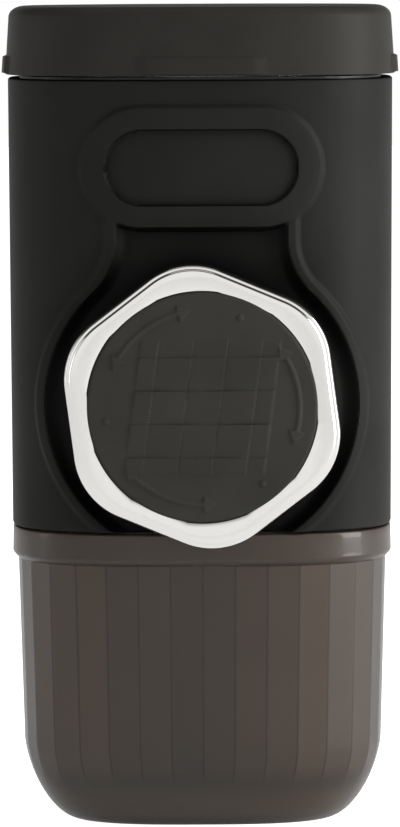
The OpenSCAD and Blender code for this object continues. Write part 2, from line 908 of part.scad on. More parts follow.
// ---- inlet: strainer in the socket's floor and a duckbill below it
module inlet_screen() {
    color(steel)
        translate([0, inlet_y, 0])
            difference() {
                disc(inlet_port_r, socket_floor_z - 0.8, socket_floor_z - 0.2, small_fn);
                for (turn = [0:60:300])
                    rotate([0, 0, turn])
                        translate([1.3, 0, 0])
                            disc(0.4, socket_floor_z - 1, socket_floor_z, 16);
            }
}

module inlet_valve() {
    top = socket_z0 + 1;
    color(silicone)
        translate([0, inlet_y, 0])
            difference() {
                union() {
                    disc(inlet_port_r, top - 1.4, top, small_fn);
                    translate([0, 0, top - 5])
                        cylinder(r1 = 0.9, r2 = 1.9, h = 3.7, $fn = small_fn);
                }
                translate([0, 0, top - 4.4])
                    cylinder(r1 = 0.3, r2 = 1.3, h = 4.5, $fn = small_fn);
            }
}

// ---- group deck: closes the body's bottom, carries the spigot and cup seat
spigot_r = spigot_d / 2;
spigot_z0 = shell_z0 - spigot_l;
spigot_r_in = spigot_r - spigot_wall;
seat_z0 = shell_z0 - seat_l;
head_turn_drop = 4;

// ---- cup outline
band_z = cup_h - band_h;
cup_top_a = body_a(shell_z0) - band_draft;
cup_top_b = body_b(shell_z0) - band_draft;
facet_a = body_a(shell_z0) - facet_inset;
facet_b = body_b(shell_z0) - facet_inset;
function facet_draft(z) = cup_draft * (band_z - z) / band_z;
function cup_in_a(z) = cup_top_a - cup_wall - cup_draft * (cup_h - z) / cup_h;
function cup_in_b(z) = cup_top_b - cup_wall - cup_draft * (cup_h - z) / cup_h;

seat_clear = 0.3;
seat_a = cup_in_a(seat_z0) - seat_clear;
seat_b = cup_in_b(seat_z0) - seat_clear;
gasket_r_in = spigot_r_in + 0.4;
gasket_r_out = spigot_r - 0.8;
gasket_h = 2;
gasket_squeeze = 0.4;

module group_deck() {
    color(inner_grey)
        difference() {
            union() {
                body_slab(shell_z0, deck_top, -shell_wall - inner_clear);
                difference() {
                    loft([ring_at(seat_a, seat_b, seat_z0), ring_at(seat_a, seat_b, shell_z0 + eps)]);
                    loft([
                        ring_at(seat_a - seat_wall, seat_b - seat_wall, seat_z0 - 1),
                        ring_at(seat_a - seat_wall, seat_b - seat_wall, shell_z0)
                    ]);
                }
                disc(spigot_r, spigot_z0, shell_z0 + eps);
            }
            disc(spigot_r_in, spigot_z0 - 1, shell_z0);
            tube(gasket_r_out, gasket_r_in, spigot_z0 - 1, spigot_z0 + gasket_h - gasket_squeeze);
            disc(channel_r, shell_z0 - 1, channel_z, small_fn);
            translate([0, inlet_y, 0]) disc(outlet_bore_r, spring_floor_z, deck_top + 1, small_fn);
            translate([0, 0, channel_z])
                rotate([-90, 0, 0]) disc(channel_r, -channel_r, inlet_y, small_fn);
            along_piston() disc(well_r_out + pass_clear, well_u0 - pass_clear, body_d_top);
            for (p = concat(post_at, foot_at))
                translate([p.x, p.y, 0]) {
                    disc(screw_r + 0.2, shell_z0 - 1, deck_top + 1, small_fn);
                    disc(screw_head_space, shell_z0 - 1, shell_z0 + screw_sink, small_fn);
                }
        }
}

screw_head_space = 2.8;
screw_sink = 2.4;
module one_screw() {
    z0 = shell_z0 + screw_sink;
    difference() {
        union() {
            disc(screw_head_space - 0.3, z0 - 1.8, z0, small_fn);
            disc(screw_r, z0, deck_top + screw_len - 3, small_fn);
        }
        disc(1, z0 - 2, z0 - 0.8, 6);
    }
}

module chassis_screws() {
    color(steel)
        for (p = concat(post_at, foot_at))
            translate([p.x, p.y, 0]) one_screw();
}

// Small holes in rings of 6, 12 and 18.
hole_step = 5;
module hole_rings(r, z0, z1, sides) {
    for (row = [1:3])
        for (k = [0:6 * row - 1])
            rotate([0, 0, 60 * k / row])
                translate([hole_step * row, 0, 0]) disc(r, z0, z1, sides);
}

screen_t = 0.8;
screen_z = shell_z0 - 4;
module shower_screen() {
    color(steel)
        difference() {
            disc(spigot_r_in, screen_z - screen_t, screen_z);
            hole_rings(0.6, screen_z - 2, screen_z + 1, 16);
        }
}

module basket_gasket() {
    color([0.6, 0.2, 0.15])
        tube(gasket_r_out, gasket_r_in, spigot_z0 - gasket_squeeze, spigot_z0 + gasket_h - gasket_squeeze);
}

// ---- filter basket and outlet head
basket_top = spigot_z0 - gasket_squeeze;
basket_r = basket_d / 2;
basket_r_out = basket_r + basket_wall;
basket_flange_t = 1;
basket_flange_r = spigot_r;
basket_z0 = basket_top - basket_depth - basket_wall;
module filter_basket() {
    color(steel)
        difference() {
            rotate_extrude($fn = round_fn)
                polygon([
                    [0, basket_z0],
                    [basket_r_out - 1.5, basket_z0],
                    [basket_r_out, basket_z0 + 1.5],
                    [basket_r_out, basket_top - basket_flange_t],
                    [basket_flange_r, basket_top - basket_flange_t],
                    [basket_flange_r, basket_top],
                    [basket_r, basket_top],
                    [basket_r, basket_z0 + 1.5 + basket_wall / 2],
                    [basket_r - 1.5 + basket_wall / 2, basket_z0 + basket_wall],
                    [0, basket_z0 + basket_wall]
                ]);
            hole_rings(0.4, basket_z0 - 1, basket_z0 + basket_wall + 1, 8);
        }
}

collar_r_in = spigot_r + pass_clear;
collar_r = collar_r_in + collar_wall;
collar_z1 = shell_z0 - 1;
shelf_z = basket_top - basket_flange_t;
well_in_r = basket_r_out + pass_clear;
outlet_floor_z = basket_z0 - 1.2;
outlet_z0 = outlet_floor_z - outlet_floor;
rib_r = 0.8;
nozzle_r = nozzle_d / 2;
nozzle_seat_r = nozzle_r - 1.5;
module outlet_head() {
    color([0.13, 0.13, 0.13])
        difference() {
            union() {
                rotate_extrude($fn = round_fn)
                    polygon([
                        [0, outlet_z0],
                        [nozzle_r + 2, outlet_z0],
                        [collar_r - 2.5, outlet_z0 + 2.2],
                        [collar_r, outlet_z0 + 5],
                        [collar_r, collar_z1],
                        [0, collar_z1]
                    ]);
                for (k = [0:rib_count - 1])
                    rotate([0, 0, 360 * k / rib_count])
                        translate([collar_r - 0.1, 0, 0])
                            disc(rib_r, outlet_z0 + 5.6, collar_z1 - 1.5, 16);
            }
            disc(collar_r_in, shelf_z, collar_z1 + 1);
            disc(well_in_r, outlet_floor_z + 1, collar_z1);
            translate([0, 0, outlet_floor_z])
                cylinder(r1 = nozzle_seat_r, r2 = well_in_r, h = 1 + eps, $fn = round_fn);
            disc(nozzle_seat_r, outlet_z0 - 1, outlet_floor_z + eps);
        }
}

nozzle_bore_r = 1.6;
nozzle_z0 = outlet_z0 - nozzle_l;
module outlet_nozzle() {
    color(silicone)
        rotate_extrude($fn = round_fn)
            polygon([
                [nozzle_bore_r, nozzle_z0],
                [nozzle_r - 1.6, nozzle_z0],
                [nozzle_r, outlet_z0 - 2],
                [nozzle_r, outlet_z0],
                [nozzle_seat_r, outlet_z0],
                [nozzle_seat_r, outlet_floor_z],
                [nozzle_bore_r, outlet_floor_z - 1]
            ]);
}

// ---- drinking cup
foot_steps = 7;
function foot_ring(i) =
    let (t = 90 * i / foot_steps,
         z = foot_rise * (1 - pow(cos(t), 2 / foot_power)),
         s = 1 - pow(sin(t), 2 / foot_power),
         a = facet_a - foot_in * s - facet_draft(z),
         b = facet_b - foot_in_d * s - facet_draft(z))
    mixed_ring_at(a, b, z, 1 - t / 90);
function cup_rings() =
    concat(
        [for (i = [0:foot_steps]) foot_ring(i)],
        [
            flat_ring_at(facet_a - facet_draft(band_z - 0.9), facet_b - facet_draft(band_z - 0.9), band_z - 0.9),
            ring_at(body_a(shell_z0) - 0.3, body_b(shell_z0) - 0.3, band_z),
            ring_at(body_a(shell_z0), body_b(shell_z0), band_z + 0.5),
            ring_at(cup_top_a, cup_top_b, cup_h - 0.4),
            ring_at(cup_top_a - 0.4, cup_top_b - 0.4, cup_h)
        ]
    );

inner_foot_r = 7;
inner_foot_steps = 4;
function cup_inner_rings() =
    concat(
        [
            for (i = [0:inner_foot_steps])
                let (t = 90 * i / inner_foot_steps,
                     z = cup_floor + inner_foot_r * (1 - cos(t)),
                     d = inner_foot_r * (1 - sin(t)))
                ring_at(cup_in_a(z) - d, cup_in_b(z) - d, z)
        ],
        [ring_at(cup_in_a(cup_h + 1), cup_in_b(cup_h + 1), cup_h + 1)]
    );

module cup() {
    color(smoke)
        difference() {
            loft(cup_rings());
            loft(cup_inner_rings());
        }
}

// ---- coffee scoop, stored in the cup round the nozzle
scoop_z0 = cup_floor;
scoop_z1 = scoop_z0 + scoop_h;
scoop_r = scoop_d / 2;
scoop_taper = 2;
handle_w = 12;
handle_t = 1.6;
module scoop() {
    color([0.13, 0.13, 0.13])
        difference() {
            union() {
                translate([0, 0, scoop_z0])
                    cylinder(r1 = scoop_r - scoop_taper, r2 = scoop_r, h = scoop_h, $fn = round_fn);
                translate([0, -handle_w / 2, scoop_z1 - handle_t])
                    cube([scoop_r + scoop_reach - handle_w / 2, handle_w, handle_t]);
                translate([scoop_r + scoop_reach - handle_w / 2, 0, 0])
                    disc(handle_w / 2, scoop_z1 - handle_t, scoop_z1, small_fn);
            }
            translate([0, 0, scoop_z0 + scoop_wall])
                cylinder(r1 = scoop_r - scoop_taper - scoop_wall, r2 = scoop_r - scoop_wall,
                    h = scoop_h, $fn = round_fn);
        }
}

tank_cap();
tank_vessel();
vent_valve();
tank_seal();
tank_socket();
inlet_screen();
inlet_valve();
body_shell();
pump_body();
rod_gland();
bayonet_ring();
piston_rod();
piston_seal();
piston_spring();
knob_screw();
knob_hub();
knob_ring();
knob_pad();
outlet_valve_ball();
outlet_valve_spring();
group_deck();
chassis_screws();
shower_screen();
basket_gasket();
filter_basket();
outlet_head();
outlet_nozzle();
cup();
scoop();
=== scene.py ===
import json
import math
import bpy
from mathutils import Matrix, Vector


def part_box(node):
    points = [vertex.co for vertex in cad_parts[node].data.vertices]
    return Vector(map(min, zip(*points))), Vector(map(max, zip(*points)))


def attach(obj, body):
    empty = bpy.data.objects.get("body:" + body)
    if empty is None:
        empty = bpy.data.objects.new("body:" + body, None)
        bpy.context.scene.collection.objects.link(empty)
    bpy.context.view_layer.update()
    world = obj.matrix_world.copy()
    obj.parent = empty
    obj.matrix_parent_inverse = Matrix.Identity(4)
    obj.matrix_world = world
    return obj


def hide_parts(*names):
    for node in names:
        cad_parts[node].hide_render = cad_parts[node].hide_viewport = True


bl_info = {
    "name": "Handheld espresso maker",
    "version": (1, 0, 0),
    "blender": (4, 5, 0),
    "location": "View3D > Sidebar > Espresso maker",
    "description": "Moulded, chromed and smoked pieces for a hand-pumped espresso maker",
    "category": "Add Mesh",
}

import bmesh
import bpy
import numpy as np
from bpy.props import (
    FloatProperty,
    FloatVectorProperty,
    IntProperty,
    PointerProperty,
)
from mathutils import Matrix, Vector

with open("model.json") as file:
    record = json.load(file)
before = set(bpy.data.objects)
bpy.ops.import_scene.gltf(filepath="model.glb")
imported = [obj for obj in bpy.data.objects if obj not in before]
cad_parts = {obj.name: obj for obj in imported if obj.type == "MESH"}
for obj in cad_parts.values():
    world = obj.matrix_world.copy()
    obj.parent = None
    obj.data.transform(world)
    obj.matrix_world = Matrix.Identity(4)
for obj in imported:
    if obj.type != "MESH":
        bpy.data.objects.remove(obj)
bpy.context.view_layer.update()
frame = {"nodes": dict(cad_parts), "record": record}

MM = 0.001
IMAGE_H = 827  # pixels, the photograph's height

shell_low, shell_high = (Vector(c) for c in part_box("body_shell"))
cap_low, cap_high = (Vector(c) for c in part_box("tank_cap"))
cup_low, cup_high = (Vector(c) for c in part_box("cup"))
ring_low, ring_high = (Vector(c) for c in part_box("knob_ring"))
pad_low, pad_high = (Vector(c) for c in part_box("knob_pad"))
well_high = Vector(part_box("pump_body")[1])
deck_low = Vector(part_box("group_deck")[0])
vessel_low, vessel_high = (Vector(c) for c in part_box("tank_vessel"))
knob_z = (pad_low.z + pad_high.z) / 2


def length(name, value, text):
    """A size in metres that the sidebar shows."""
    return FloatProperty(name=name, description=text, default=value, min=0.0, unit="LENGTH")


def colour(name, value, text):
    return FloatVectorProperty(
        name=name, description=text, default=value, size=3, min=0.0, max=1.0, subtype="COLOR"
    )


class BodySizes(bpy.types.PropertyGroup):
    """Sizes of the rounded-square body, its dish and its badge."""

    half_w_top: length("Half width, top", shell_high.x, "From axis to side at the body's top")
    half_w_bottom: length("Half width, bottom", shell_high.x - 0.45 * MM, "The same at its bottom")
    half_d_top: length("Half depth, top", shell_high.y, "From axis to back at the body's top")
    half_d_bottom: length("Half depth, bottom", shell_high.y - 0.4 * MM, "The same at its bottom")
    power: FloatProperty(
        name="Squareness", description="2 is an ellipse, more is squarer", default=3.0, min=2.0
    )
    wall: length("Wall", 2 * MM, "Thickness of the body's wall")
    edge: length("Edge rounding", 0.4 * MM, "Rounding of the top and bottom edges")
    dish_radius: length("Dish radius", 31 * MM, "To the outside of the ridge round the knob")
    neck_half: length("Neck half width", 18 * MM, "Half width of the neck below the badge")
    flare: length("Flare radius", 12 * MM, "Where the neck runs into the dish")
    ridge_w: length("Ridge width", 2.4 * MM, "Width of the raised ridge")
    ridge_h: length("Ridge height", 0.7 * MM, "How far the ridge stands out")
    dish_depth: length("Dish depth", 1.5 * MM, "How far the dish's floor is sunk")
    dish_wall: length("Dish wall", 2.3 * MM, "Width of the dish's hollow wall inside the ridge")
    badge_z: length("Badge height", shell_low.z + 68 * MM, "Height of the badge's centre")
    badge_w: length("Badge width", 45.5 * MM, "Width of the raised badge frame")
    badge_h: length("Badge frame height", 23.3 * MM, "Height of the raised badge frame")
    field_w: length("Field width", 35.7 * MM, "Width of the badge's sunk field")
    field_h: length("Field height", 14 * MM, "Height of the badge's sunk field")
    field_depth: length("Field depth", 0.75 * MM, "Depth of the field below the frame")
    grid: length("Grid", 0.27 * MM, "Mesh spacing on the moulded front")


class CapSizes(bpy.types.PropertyGroup):
    """Sizes of the tank cap."""

    draft: length("Draft", 0.8 * MM, "How far the sides draw in to the top")
    edge: length("Edge rounding", 2 * MM, "Height of the top edge's rounding")
    edge_in: length("Edge reach", 2.6 * MM, "How far that rounding draws in")
    crown: length("Crown", 0.2 * MM, "Rise of the top")
    wall: length("Wall", 1.8 * MM, "Thickness of the cap's wall")
    lip_w: length("Lip width", 25 * MM, "Width of each finger lip")
    lip_h: length("Lip height", 3.4 * MM, "Height of each finger lip")
    lip_out: length("Lip reach", 0.7 * MM, "How far each finger lip stands out")
    lip_out_front: length("Front lip reach", 0.35 * MM, "The same for the one above the badge")
    lip_rise: length("Lip rise", 0.15 * MM, "Height of the lips above the cap's lower edge")


class KnobSizes(bpy.types.PropertyGroup):
    """Sizes of the piston knob."""

    apothem: length("Flats", 24.8 * MM, "From axis to the ring's flat sides")
    corner: length("Corner radius", 13.5 * MM, "Rounding radius of the ring's corners")
    turn: FloatProperty(
        name="Turn", description="Hexagon's turn", default=math.radians(7.5), subtype="ANGLE"
    )
    pad_radius: length("Pad radius", pad_high.x, "Radius of the grip pad")
    facet_w: length("Facet width", 6.4 * MM, "Width of a facet of the grip pattern")
    facet_h: length("Facet height", 6.2 * MM, "Height of a facet of the grip pattern")
    facet_step: length("Facet step", 0.36 * MM, "Step between neighbouring facets")
    facet_lean: FloatProperty(
        name="Facet lean", description="Lean of the columns", default=math.radians(7.5),
        subtype="ANGLE",
    )
    mark_radius: length("Mark radius", 18 * MM, "Radius of the ring of turning marks")
    mark_rise: length("Mark rise", 0.22 * MM, "How far the marks stand out")


class CupSizes(bpy.types.PropertyGroup):
    """Sizes of the drinking cup."""

    facets: IntProperty(name="Facets", description="Flat facets round the cup", default=36, min=12)
    wall: length("Wall", 2.5 * MM, "Thickness of the cup's wall")
    floor: length("Floor", 11 * MM, "Height of the cup's inner floor")
    band: length("Band", 5.2 * MM, "Height of the smooth lip band")
    band_draft: length("Band draft", 0.1 * MM, "How far the band draws in to the rim")
    inset: length("Facet inset", 1 * MM, "How far the facets step in below the band")
    draft: length("Draft", 1.4 * MM, "How far the cup draws in to its foot")
    foot_rise: length("Foot rise", 14.8 * MM, "Height of the rounding at the foot")
    foot_in: length("Foot reach, sides", 8.3 * MM, "How far that rounding draws in")
    foot_in_d: length("Foot reach, front", 5.4 * MM, "The same at the front and back")
    foot_power: FloatProperty(
        name="Foot fullness", description="1 is flat, 2 is an ellipse", default=1.6, min=1.0
    )
    inner_round: length("Inner rounding", 7 * MM, "Rounding of the inside's lower edge")


class Finishes(bpy.types.PropertyGroup):
    """Colours of the maker's finishes."""

    shell: colour("Body", (0.0165, 0.0165, 0.0152), "Soft-touch black of the body")
    cap: colour("Cap", (0.029, 0.028, 0.025), "Moulded black of the tank cap")
    pad: colour("Pad", (0.042, 0.041, 0.037), "Rubber of the grip pad")
    trim: colour("Trim", (0.67, 0.66, 0.64), "Satin chrome of the trim ring")
    smoke: colour("Smoke", (0.15, 0.101, 0.064), "Tint of the smoked cup")
    chassis: colour("Chassis", (0.055, 0.055, 0.058), "Dark grey inner mouldings")
    steel: colour("Steel", (0.62, 0.62, 0.61), "Stainless steel inside")
    silicone: colour("Silicone", (0.45, 0.45, 0.43), "Grey silicone")
    clear: colour("Tank", (0.72, 0.74, 0.75), "Clear grey tank vessel")


class StageSettings(bpy.types.PropertyGroup):
    """Camera and studio, as the photograph was taken."""

    distance: length("Distance", 1208 * MM, "Camera's distance in front of the maker")
    camera_z: length("Camera height", 165 * MM, "Camera's height above the table")
    camera_x: FloatProperty(
        name="Camera offset", description="Camera's offset to the side", default=-0.006,
        unit="LENGTH",
    )
    aim_z: length("Aim height", 75.8 * MM, "Height that the camera looks at")
    aim_x: FloatProperty(
        name="Aim offset", description="Aim's offset to the side", default=-0.00026, unit="LENGTH"
    )
    scale: FloatProperty(
        name="Pixels per mm", description="Image scale at the maker's axis", default=5.26
    )
    roll: FloatProperty(
        name="Roll", description="Camera's roll", default=math.radians(-0.25), subtype="ANGLE"
    )


GROUPS = {
    "maker_body": BodySizes,
    "maker_cap": CapSizes,
    "maker_knob": KnobSizes,
    "maker_cup": CupSizes,
    "maker_finish": Finishes,
    "maker_stage": StageSettings,
}


# ---- meshes


def smoothstep(low, high, value):
    t = np.clip((value - low) / (high - low), 0.0, 1.0)
    return t * t * (3.0 - 2.0 * t)


def make_object(name, verts, faces, smooth=True):
    """A new mesh object in the scene, without a material."""
    mesh = bpy.data.meshes.new(name)
    mesh.from_pydata([tuple(v) for v in np.asarray(verts, float).tolist()], [], faces)
    mesh.validate()
    mesh.polygons.foreach_set("use_smooth", [smooth] * len(mesh.polygons))
    mesh.update()
    obj = bpy.data.objects.new(name, mesh)
    bpy.context.scene.collection.objects.link(obj)
    return obj


def skin(rows, wrap_rows=False, cap_first=False, cap_last=False, start=0):
    """Faces over rows of points that each close on themselves, seen from outside."""
    count, around = rows.shape[0], rows.shape[1]
    ids = start + np.arange(count * around).reshape(count, around)
    low = ids if wrap_rows else ids[:-1]
    high = np.roll(ids, -1, axis=0) if wrap_rows else ids[1:]
    quads = np.stack(
        [low, np.roll(low, -1, axis=1), np.roll(high, -1, axis=1), high], axis=-1
    ).reshape(-1, 4)
    faces = quads.tolist()
    if cap_first:
        faces.append(ids[0][::-1].tolist())
    if cap_last:
        faces.append(ids[-1].tolist())
    return faces


def skinned(name, rows, **closing):
    rows = np.asarray(rows, float)
    return make_object(name, rows.reshape(-1, 3), skin(rows, **closing))


def join_meshes(name, parts):
    """One object from several (verts, faces) solids."""
    verts, faces, start = [], [], 0
    for part_verts, part_faces in parts:
        part_verts = np.asarray(part_verts, float).reshape(-1, 3)
        verts.append(part_verts)
        faces += [[i + start for i in f] for f in part_faces]
        start += len(part_verts)
    return make_object(name, np.concatenate(verts), faces)


def sharpen(obj, degrees=32.0):
    """Edges steeper than this angle stay sharp, the rest shade smooth."""
    bm = bmesh.new()
    bm.from_mesh(obj.data)
    for edge in bm.edges:
        if len(edge.link_faces) == 2:
            edge.smooth = edge.calc_face_angle() < math.radians(degrees)
    bm.to_mesh(obj.data)
    bm.free()
    return obj


def plan_angles(half_w, half_d, power, distances=None, count=None):
    """Angles of points on the plan at given distances from the front's middle."""
    fine = np.radians(np.linspace(-90.0, 270.0, 4001))
    x = half_w * np.sign(np.cos(fine)) * np.abs(np.cos(fine)) ** (2 / power)
    y = half_d * np.sign(np.sin(fine)) * np.abs(np.sin(fine)) ** (2 / power)
    run = np.concatenate([[0.0], np.cumsum(np.hypot(np.diff(x), np.diff(y)))])
    if distances is None:
        distances = np.arange(count) * run[-1] / count
    return np.interp(np.mod(distances, run[-1]), run, fine), run[-1]


def plan_unit(angles, power):
    """Plan points for half width and half depth 1."""
    c, s = np.cos(angles), np.sin(angles)
    return np.stack(
        [np.sign(c) * np.abs(c) ** (2 / power), np.sign(s) * np.abs(s) ** (2 / power)], axis=-1
    )


def plan_normal(unit, half_w, half_d, power):
    """Outward directions in plan at those points."""
    x, y = unit[:, 0], unit[:, 1]
    n = np.stack(
        [
            np.sign(x) * np.abs(x) ** (power - 1) / half_w,
            np.sign(y) * np.abs(y) ** (power - 1) / half_d,
        ],
        axis=-1,
    )
    return n / np.linalg.norm(n, axis=1, keepdims=True)


def plan_ring(unit, half_w, half_d, z):
    return np.column_stack([unit[:, 0] * half_w, unit[:, 1] * half_d, np.full(len(unit), z)])


def body_half(body, z):
    """Half width and half depth of the body's taper at a height."""
    t = (z - shell_low.z) / (shell_high.z - shell_low.z)
    return (
        body.half_w_bottom + (body.half_w_top - body.half_w_bottom) * t,
        body.half_d_bottom + (body.half_d_top - body.half_d_bottom) * t,
    )


def keyhole_distance(body, x, z):
    """Distance outside the keyhole outline of dish and neck, negative inside."""
    x = np.abs(x)
    flare_x = body.neck_half + body.flare
    rise = math.sqrt((body.dish_radius + body.flare) ** 2 - flare_x**2)
    flare_z = knob_z + rise
    dish = np.hypot(x, z - knob_z) - body.dish_radius
    neck = x - body.neck_half
    fillet = body.flare - np.hypot(x - flare_x, z - flare_z)
    side = (x - flare_x) * (knob_z - flare_z) + (z - flare_z) * flare_x
    in_fillet = (z < flare_z) & (side > 0)
    return np.where(z >= flare_z, neck, np.where(in_fillet, fillet, dish))


def obround_distance(x, z, centre_z, width, height):
    """Distance outside a flat-sided oval, negative inside."""
    reach = np.maximum(np.abs(x) - (width - height) / 2, 0.0)
    return np.hypot(reach, z - centre_z) - height / 2


def front_relief(body, x, z):
    """How far the moulded front stands out of the plain taper."""
    d = keyhole_distance(body, x, z)
    rise = smoothstep(0.5 * MM, -0.7 * MM, d)
    wall_in = np.clip((-d - body.ridge_w + 0.4 * MM) / body.dish_wall, 0.0, 1.0)
    fall = 1 - (1 - wall_in) ** 2.2
    plain = body.ridge_h * rise - (body.ridge_h + body.dish_depth) * fall
    plain = np.where(z < body.badge_z, plain, 0.0)
    badge = obround_distance(x, z, body.badge_z, body.badge_w, body.badge_h)
    on_badge = smoothstep(0.35 * MM, -0.75 * MM, badge)
    crowned = body.ridge_h * (0.82 + 0.18 * smoothstep(0.0, -2.5 * MM, badge))
    field = obround_distance(x, z, body.badge_z, body.field_w, body.field_h)
    sunk = body.field_depth * smoothstep(0.16 * MM, -0.16 * MM, field)
    return plain * (1 - on_badge) + (crowned - sunk) * on_badge


def cut_cylinder(obj, radius, start, end):
    """Cuts a round hole through a piece along the piston's axis."""
    bpy.ops.mesh.primitive_cylinder_add(
        vertices=192, radius=radius, depth=abs(end - start),
        location=(0, (start + end) / 2, knob_z), rotation=(math.pi / 2, 0, 0),
    )
    cutter = bpy.context.object
    cut = obj.modifiers.new("hole", "BOOLEAN")
    cut.operation = "DIFFERENCE"
    cut.solver = "FAST"
    cut.object = cutter
    graph = bpy.context.evaluated_depsgraph_get()
    holed = bpy.data.meshes.new_from_object(obj.evaluated_get(graph))
    obj.modifiers.clear()
    obj.data = holed
    bpy.data.objects.remove(cutter)


def build_shell(body):
    """The body shell, with the ridge, dish and badge moulded in its front."""
    dense, front_run = body.grid, 47 * MM
    _, run = plan_angles(body.half_w_top, body.half_d_top, body.power, count=8)
    front = np.arange(-front_run, front_run, dense)
    back = np.linspace(front_run, run - front_run, 110, endpoint=False)
    angles, _ = plan_angles(
        body.half_w_top, body.half_d_top, body.power, np.concatenate([front, back])
    )
    unit = plan_unit(angles, body.power)
    normal = plan_normal(unit, body.half_w_top, body.half_d_top, body.power)
    low, high, edge = shell_low.z, shell_high.z, body.edge
    levels = [
        (low + edge * (1 - math.cos(math.radians(t))), edge * (1 - math.sin(math.radians(t))))
        for t in np.linspace(0, 90, 7)
    ]
    levels += [(z, 0.0) for z in np.arange(low + edge + dense, high - edge, dense)]
    levels += [
        (high - edge * (1 - math.cos(math.radians(t))), edge * (1 - math.sin(math.radians(t))))
        for t in np.linspace(90, 0, 7)
    ]
    rows = []
    for z, drawn_in in levels:
        half_w, half_d = body_half(body, z)
        ring = plan_ring(unit, half_w - drawn_in, half_d - drawn_in, z)
        relief = np.where(unit[:, 1] < 0, front_relief(body, ring[:, 0], z), 0.0)
        ring[:, :2] += normal * relief[:, None]
        rows.append(ring)
    for z in (high, low):
        half_w, half_d = body_half(body, z)
        rows.append(plan_ring(unit, half_w - body.wall, half_d - body.wall, z))
    shell = skinned("body_shell_moulding", rows, wrap_rows=True)
    cut_cylinder(shell, well_high.x, -60 * MM, 0.0)
    return sharpen(shell, 40)


def build_cap(body, cap):
    """The tank cap with its four finger lips and ribbed inside."""
    count = 480
    angles, _ = plan_angles(cap_high.x, shell_high.y, body.power, count=count)
    unit = plan_unit(angles, body.power)
    low, high = cap_low.z, cap_high.z
    rim = high - cap.crown
    chamfer, round_in = 0.12 * MM, 1.0 * MM
    base_w = cap_high.x - cap.lip_out
    base_d = cap_high.y - cap.lip_out
    normal = plan_normal(unit, base_w, base_d, body.power)

    def half(z):
        drawn = cap.draft * (z - low) / (high - low)
        return base_w - drawn, base_d - drawn

    lip_low, lip_high = low + cap.lip_rise, low + cap.lip_rise + cap.lip_h
    heights = np.concatenate([
        [low + chamfer], np.arange(low + 0.2 * MM, lip_high + 0.6 * MM, 0.14 * MM),
        np.linspace(lip_high + 0.8 * MM, rim - cap.edge, 12),
    ])
    rows = []
    half_w, half_d = half(low)
    rows.append(plan_ring(unit, half_w - chamfer, half_d - chamfer, low))
    for z in heights:
        half_w, half_d = half(z)
        ring = plan_ring(unit, half_w, half_d, z)
        across = np.minimum(np.abs(ring[:, 0]), np.abs(ring[:, 1]))
        level = smoothstep(lip_low - 0.02 * MM, lip_low + 0.2 * MM, z) * smoothstep(
            lip_high + 0.05 * MM, lip_high - 0.3 * MM, z
        )
        front = (ring[:, 1] < 0) & (np.abs(ring[:, 0]) < cap.lip_w)
        out = np.where(front, cap.lip_out_front, cap.lip_out)
        soft = np.where(front, 3.0 * MM, 0.9 * MM)
        reach = smoothstep(cap.lip_w / 2 + 0.1 * MM, cap.lip_w / 2 + 0.1 * MM - soft, across)
        ring[:, :2] += normal * (out * level * reach)[:, None]
        rows.append(ring)
    for t in np.linspace(0, 90, 12)[1:]:
        z = rim - cap.edge * (1 - math.sin(math.radians(t)))
        drawn = cap.edge_in * (1 - math.cos(math.radians(t)))
        half_w, half_d = half(z)
        rows.append(plan_ring(unit, half_w - drawn, half_d - drawn, z))
    half_w, half_d = half(rim)
    for s in np.linspace(1, 0.02, 24)[1:]:
        rows.append(
            plan_ring(
                unit, (half_w - cap.edge_in) * s, (half_d - cap.edge_in) * s,
                rim + cap.crown * (1 - s * s),
            )
        )
    outer = np.asarray(rows)
    under = rim - cap.wall
    inner = [plan_ring(unit, base_w - cap.wall, base_d - cap.wall, low)]
    for t in np.linspace(0, 90, 6):
        drawn = cap.wall + round_in * (1 - math.cos(math.radians(t)))
        z = under - round_in * (1 - math.sin(math.radians(t)))
        inner.append(plan_ring(unit, half_w - drawn, half_d - drawn, z))
    inner = np.asarray(inner)[::-1]
    wall = np.concatenate([inner, outer])
    parts = [(wall, skin(wall, cap_first=True, cap_last=True))]
    pocket, tube_t = vessel_high.x, 1.8 * MM
    parts.append(tube_solid(pocket + tube_t, pocket + 0.02 * MM, low + 0.1 * MM, under + 0.2 * MM))
    rib_t = 1.4 * MM
    for k in range(8):
        turn = math.radians(22.5 + 45 * k)
        start = pocket + 0.9 * tube_t
        end = rib_reach(turn, base_w - cap.wall, base_d - cap.wall, body.power)
        if end > start + 1 * MM:
            parts.append(rib_solid(turn, start, end + 0.3 * MM, rib_t, low + 1 * MM, under))
    return sharpen(join_meshes("tank_cap_moulding", parts), 40)


def tube_solid(r_out, r_in, z0, z1, count=192):
    t = np.linspace(0, 2 * math.pi, count, endpoint=False)
    circle = np.column_stack([np.cos(t), np.sin(t)])
    rows = [
        np.column_stack([circle * r, np.full(count, z)])
        for r, z in ((r_out, z0), (r_out, z1), (r_in, z1), (r_in, z0))
    ]
    rows = np.asarray(rows)
    return rows, skin(rows, wrap_rows=True)


def rib_reach(turn, half_w, half_d, power):
    c, s = abs(math.cos(turn)), abs(math.sin(turn))
    return ((c / half_w) ** power + (s / half_d) ** power) ** (-1 / power)


def rib_solid(turn, r0, r1, thick, z0, z1):
    out = np.array([math.cos(turn), math.sin(turn)])
    side = np.array([-out[1], out[0]]) * thick / 2
    plan = [out * r0 - side, out * r1 - side, out * r1 + side, out * r0 + side]
    rows = np.asarray([[[p[0], p[1], z] for p in plan] for z in (z0, z1)])
    return rows, skin(rows, cap_first=True, cap_last=True)


def along_knob(rows):
    """Points drawn with the knob's axis as +Z, set in place facing the front."""
    rows = np.asarray(rows, float)
    return np.stack([rows[..., 0], -rows[..., 2], rows[..., 1] + knob_z], axis=-1)


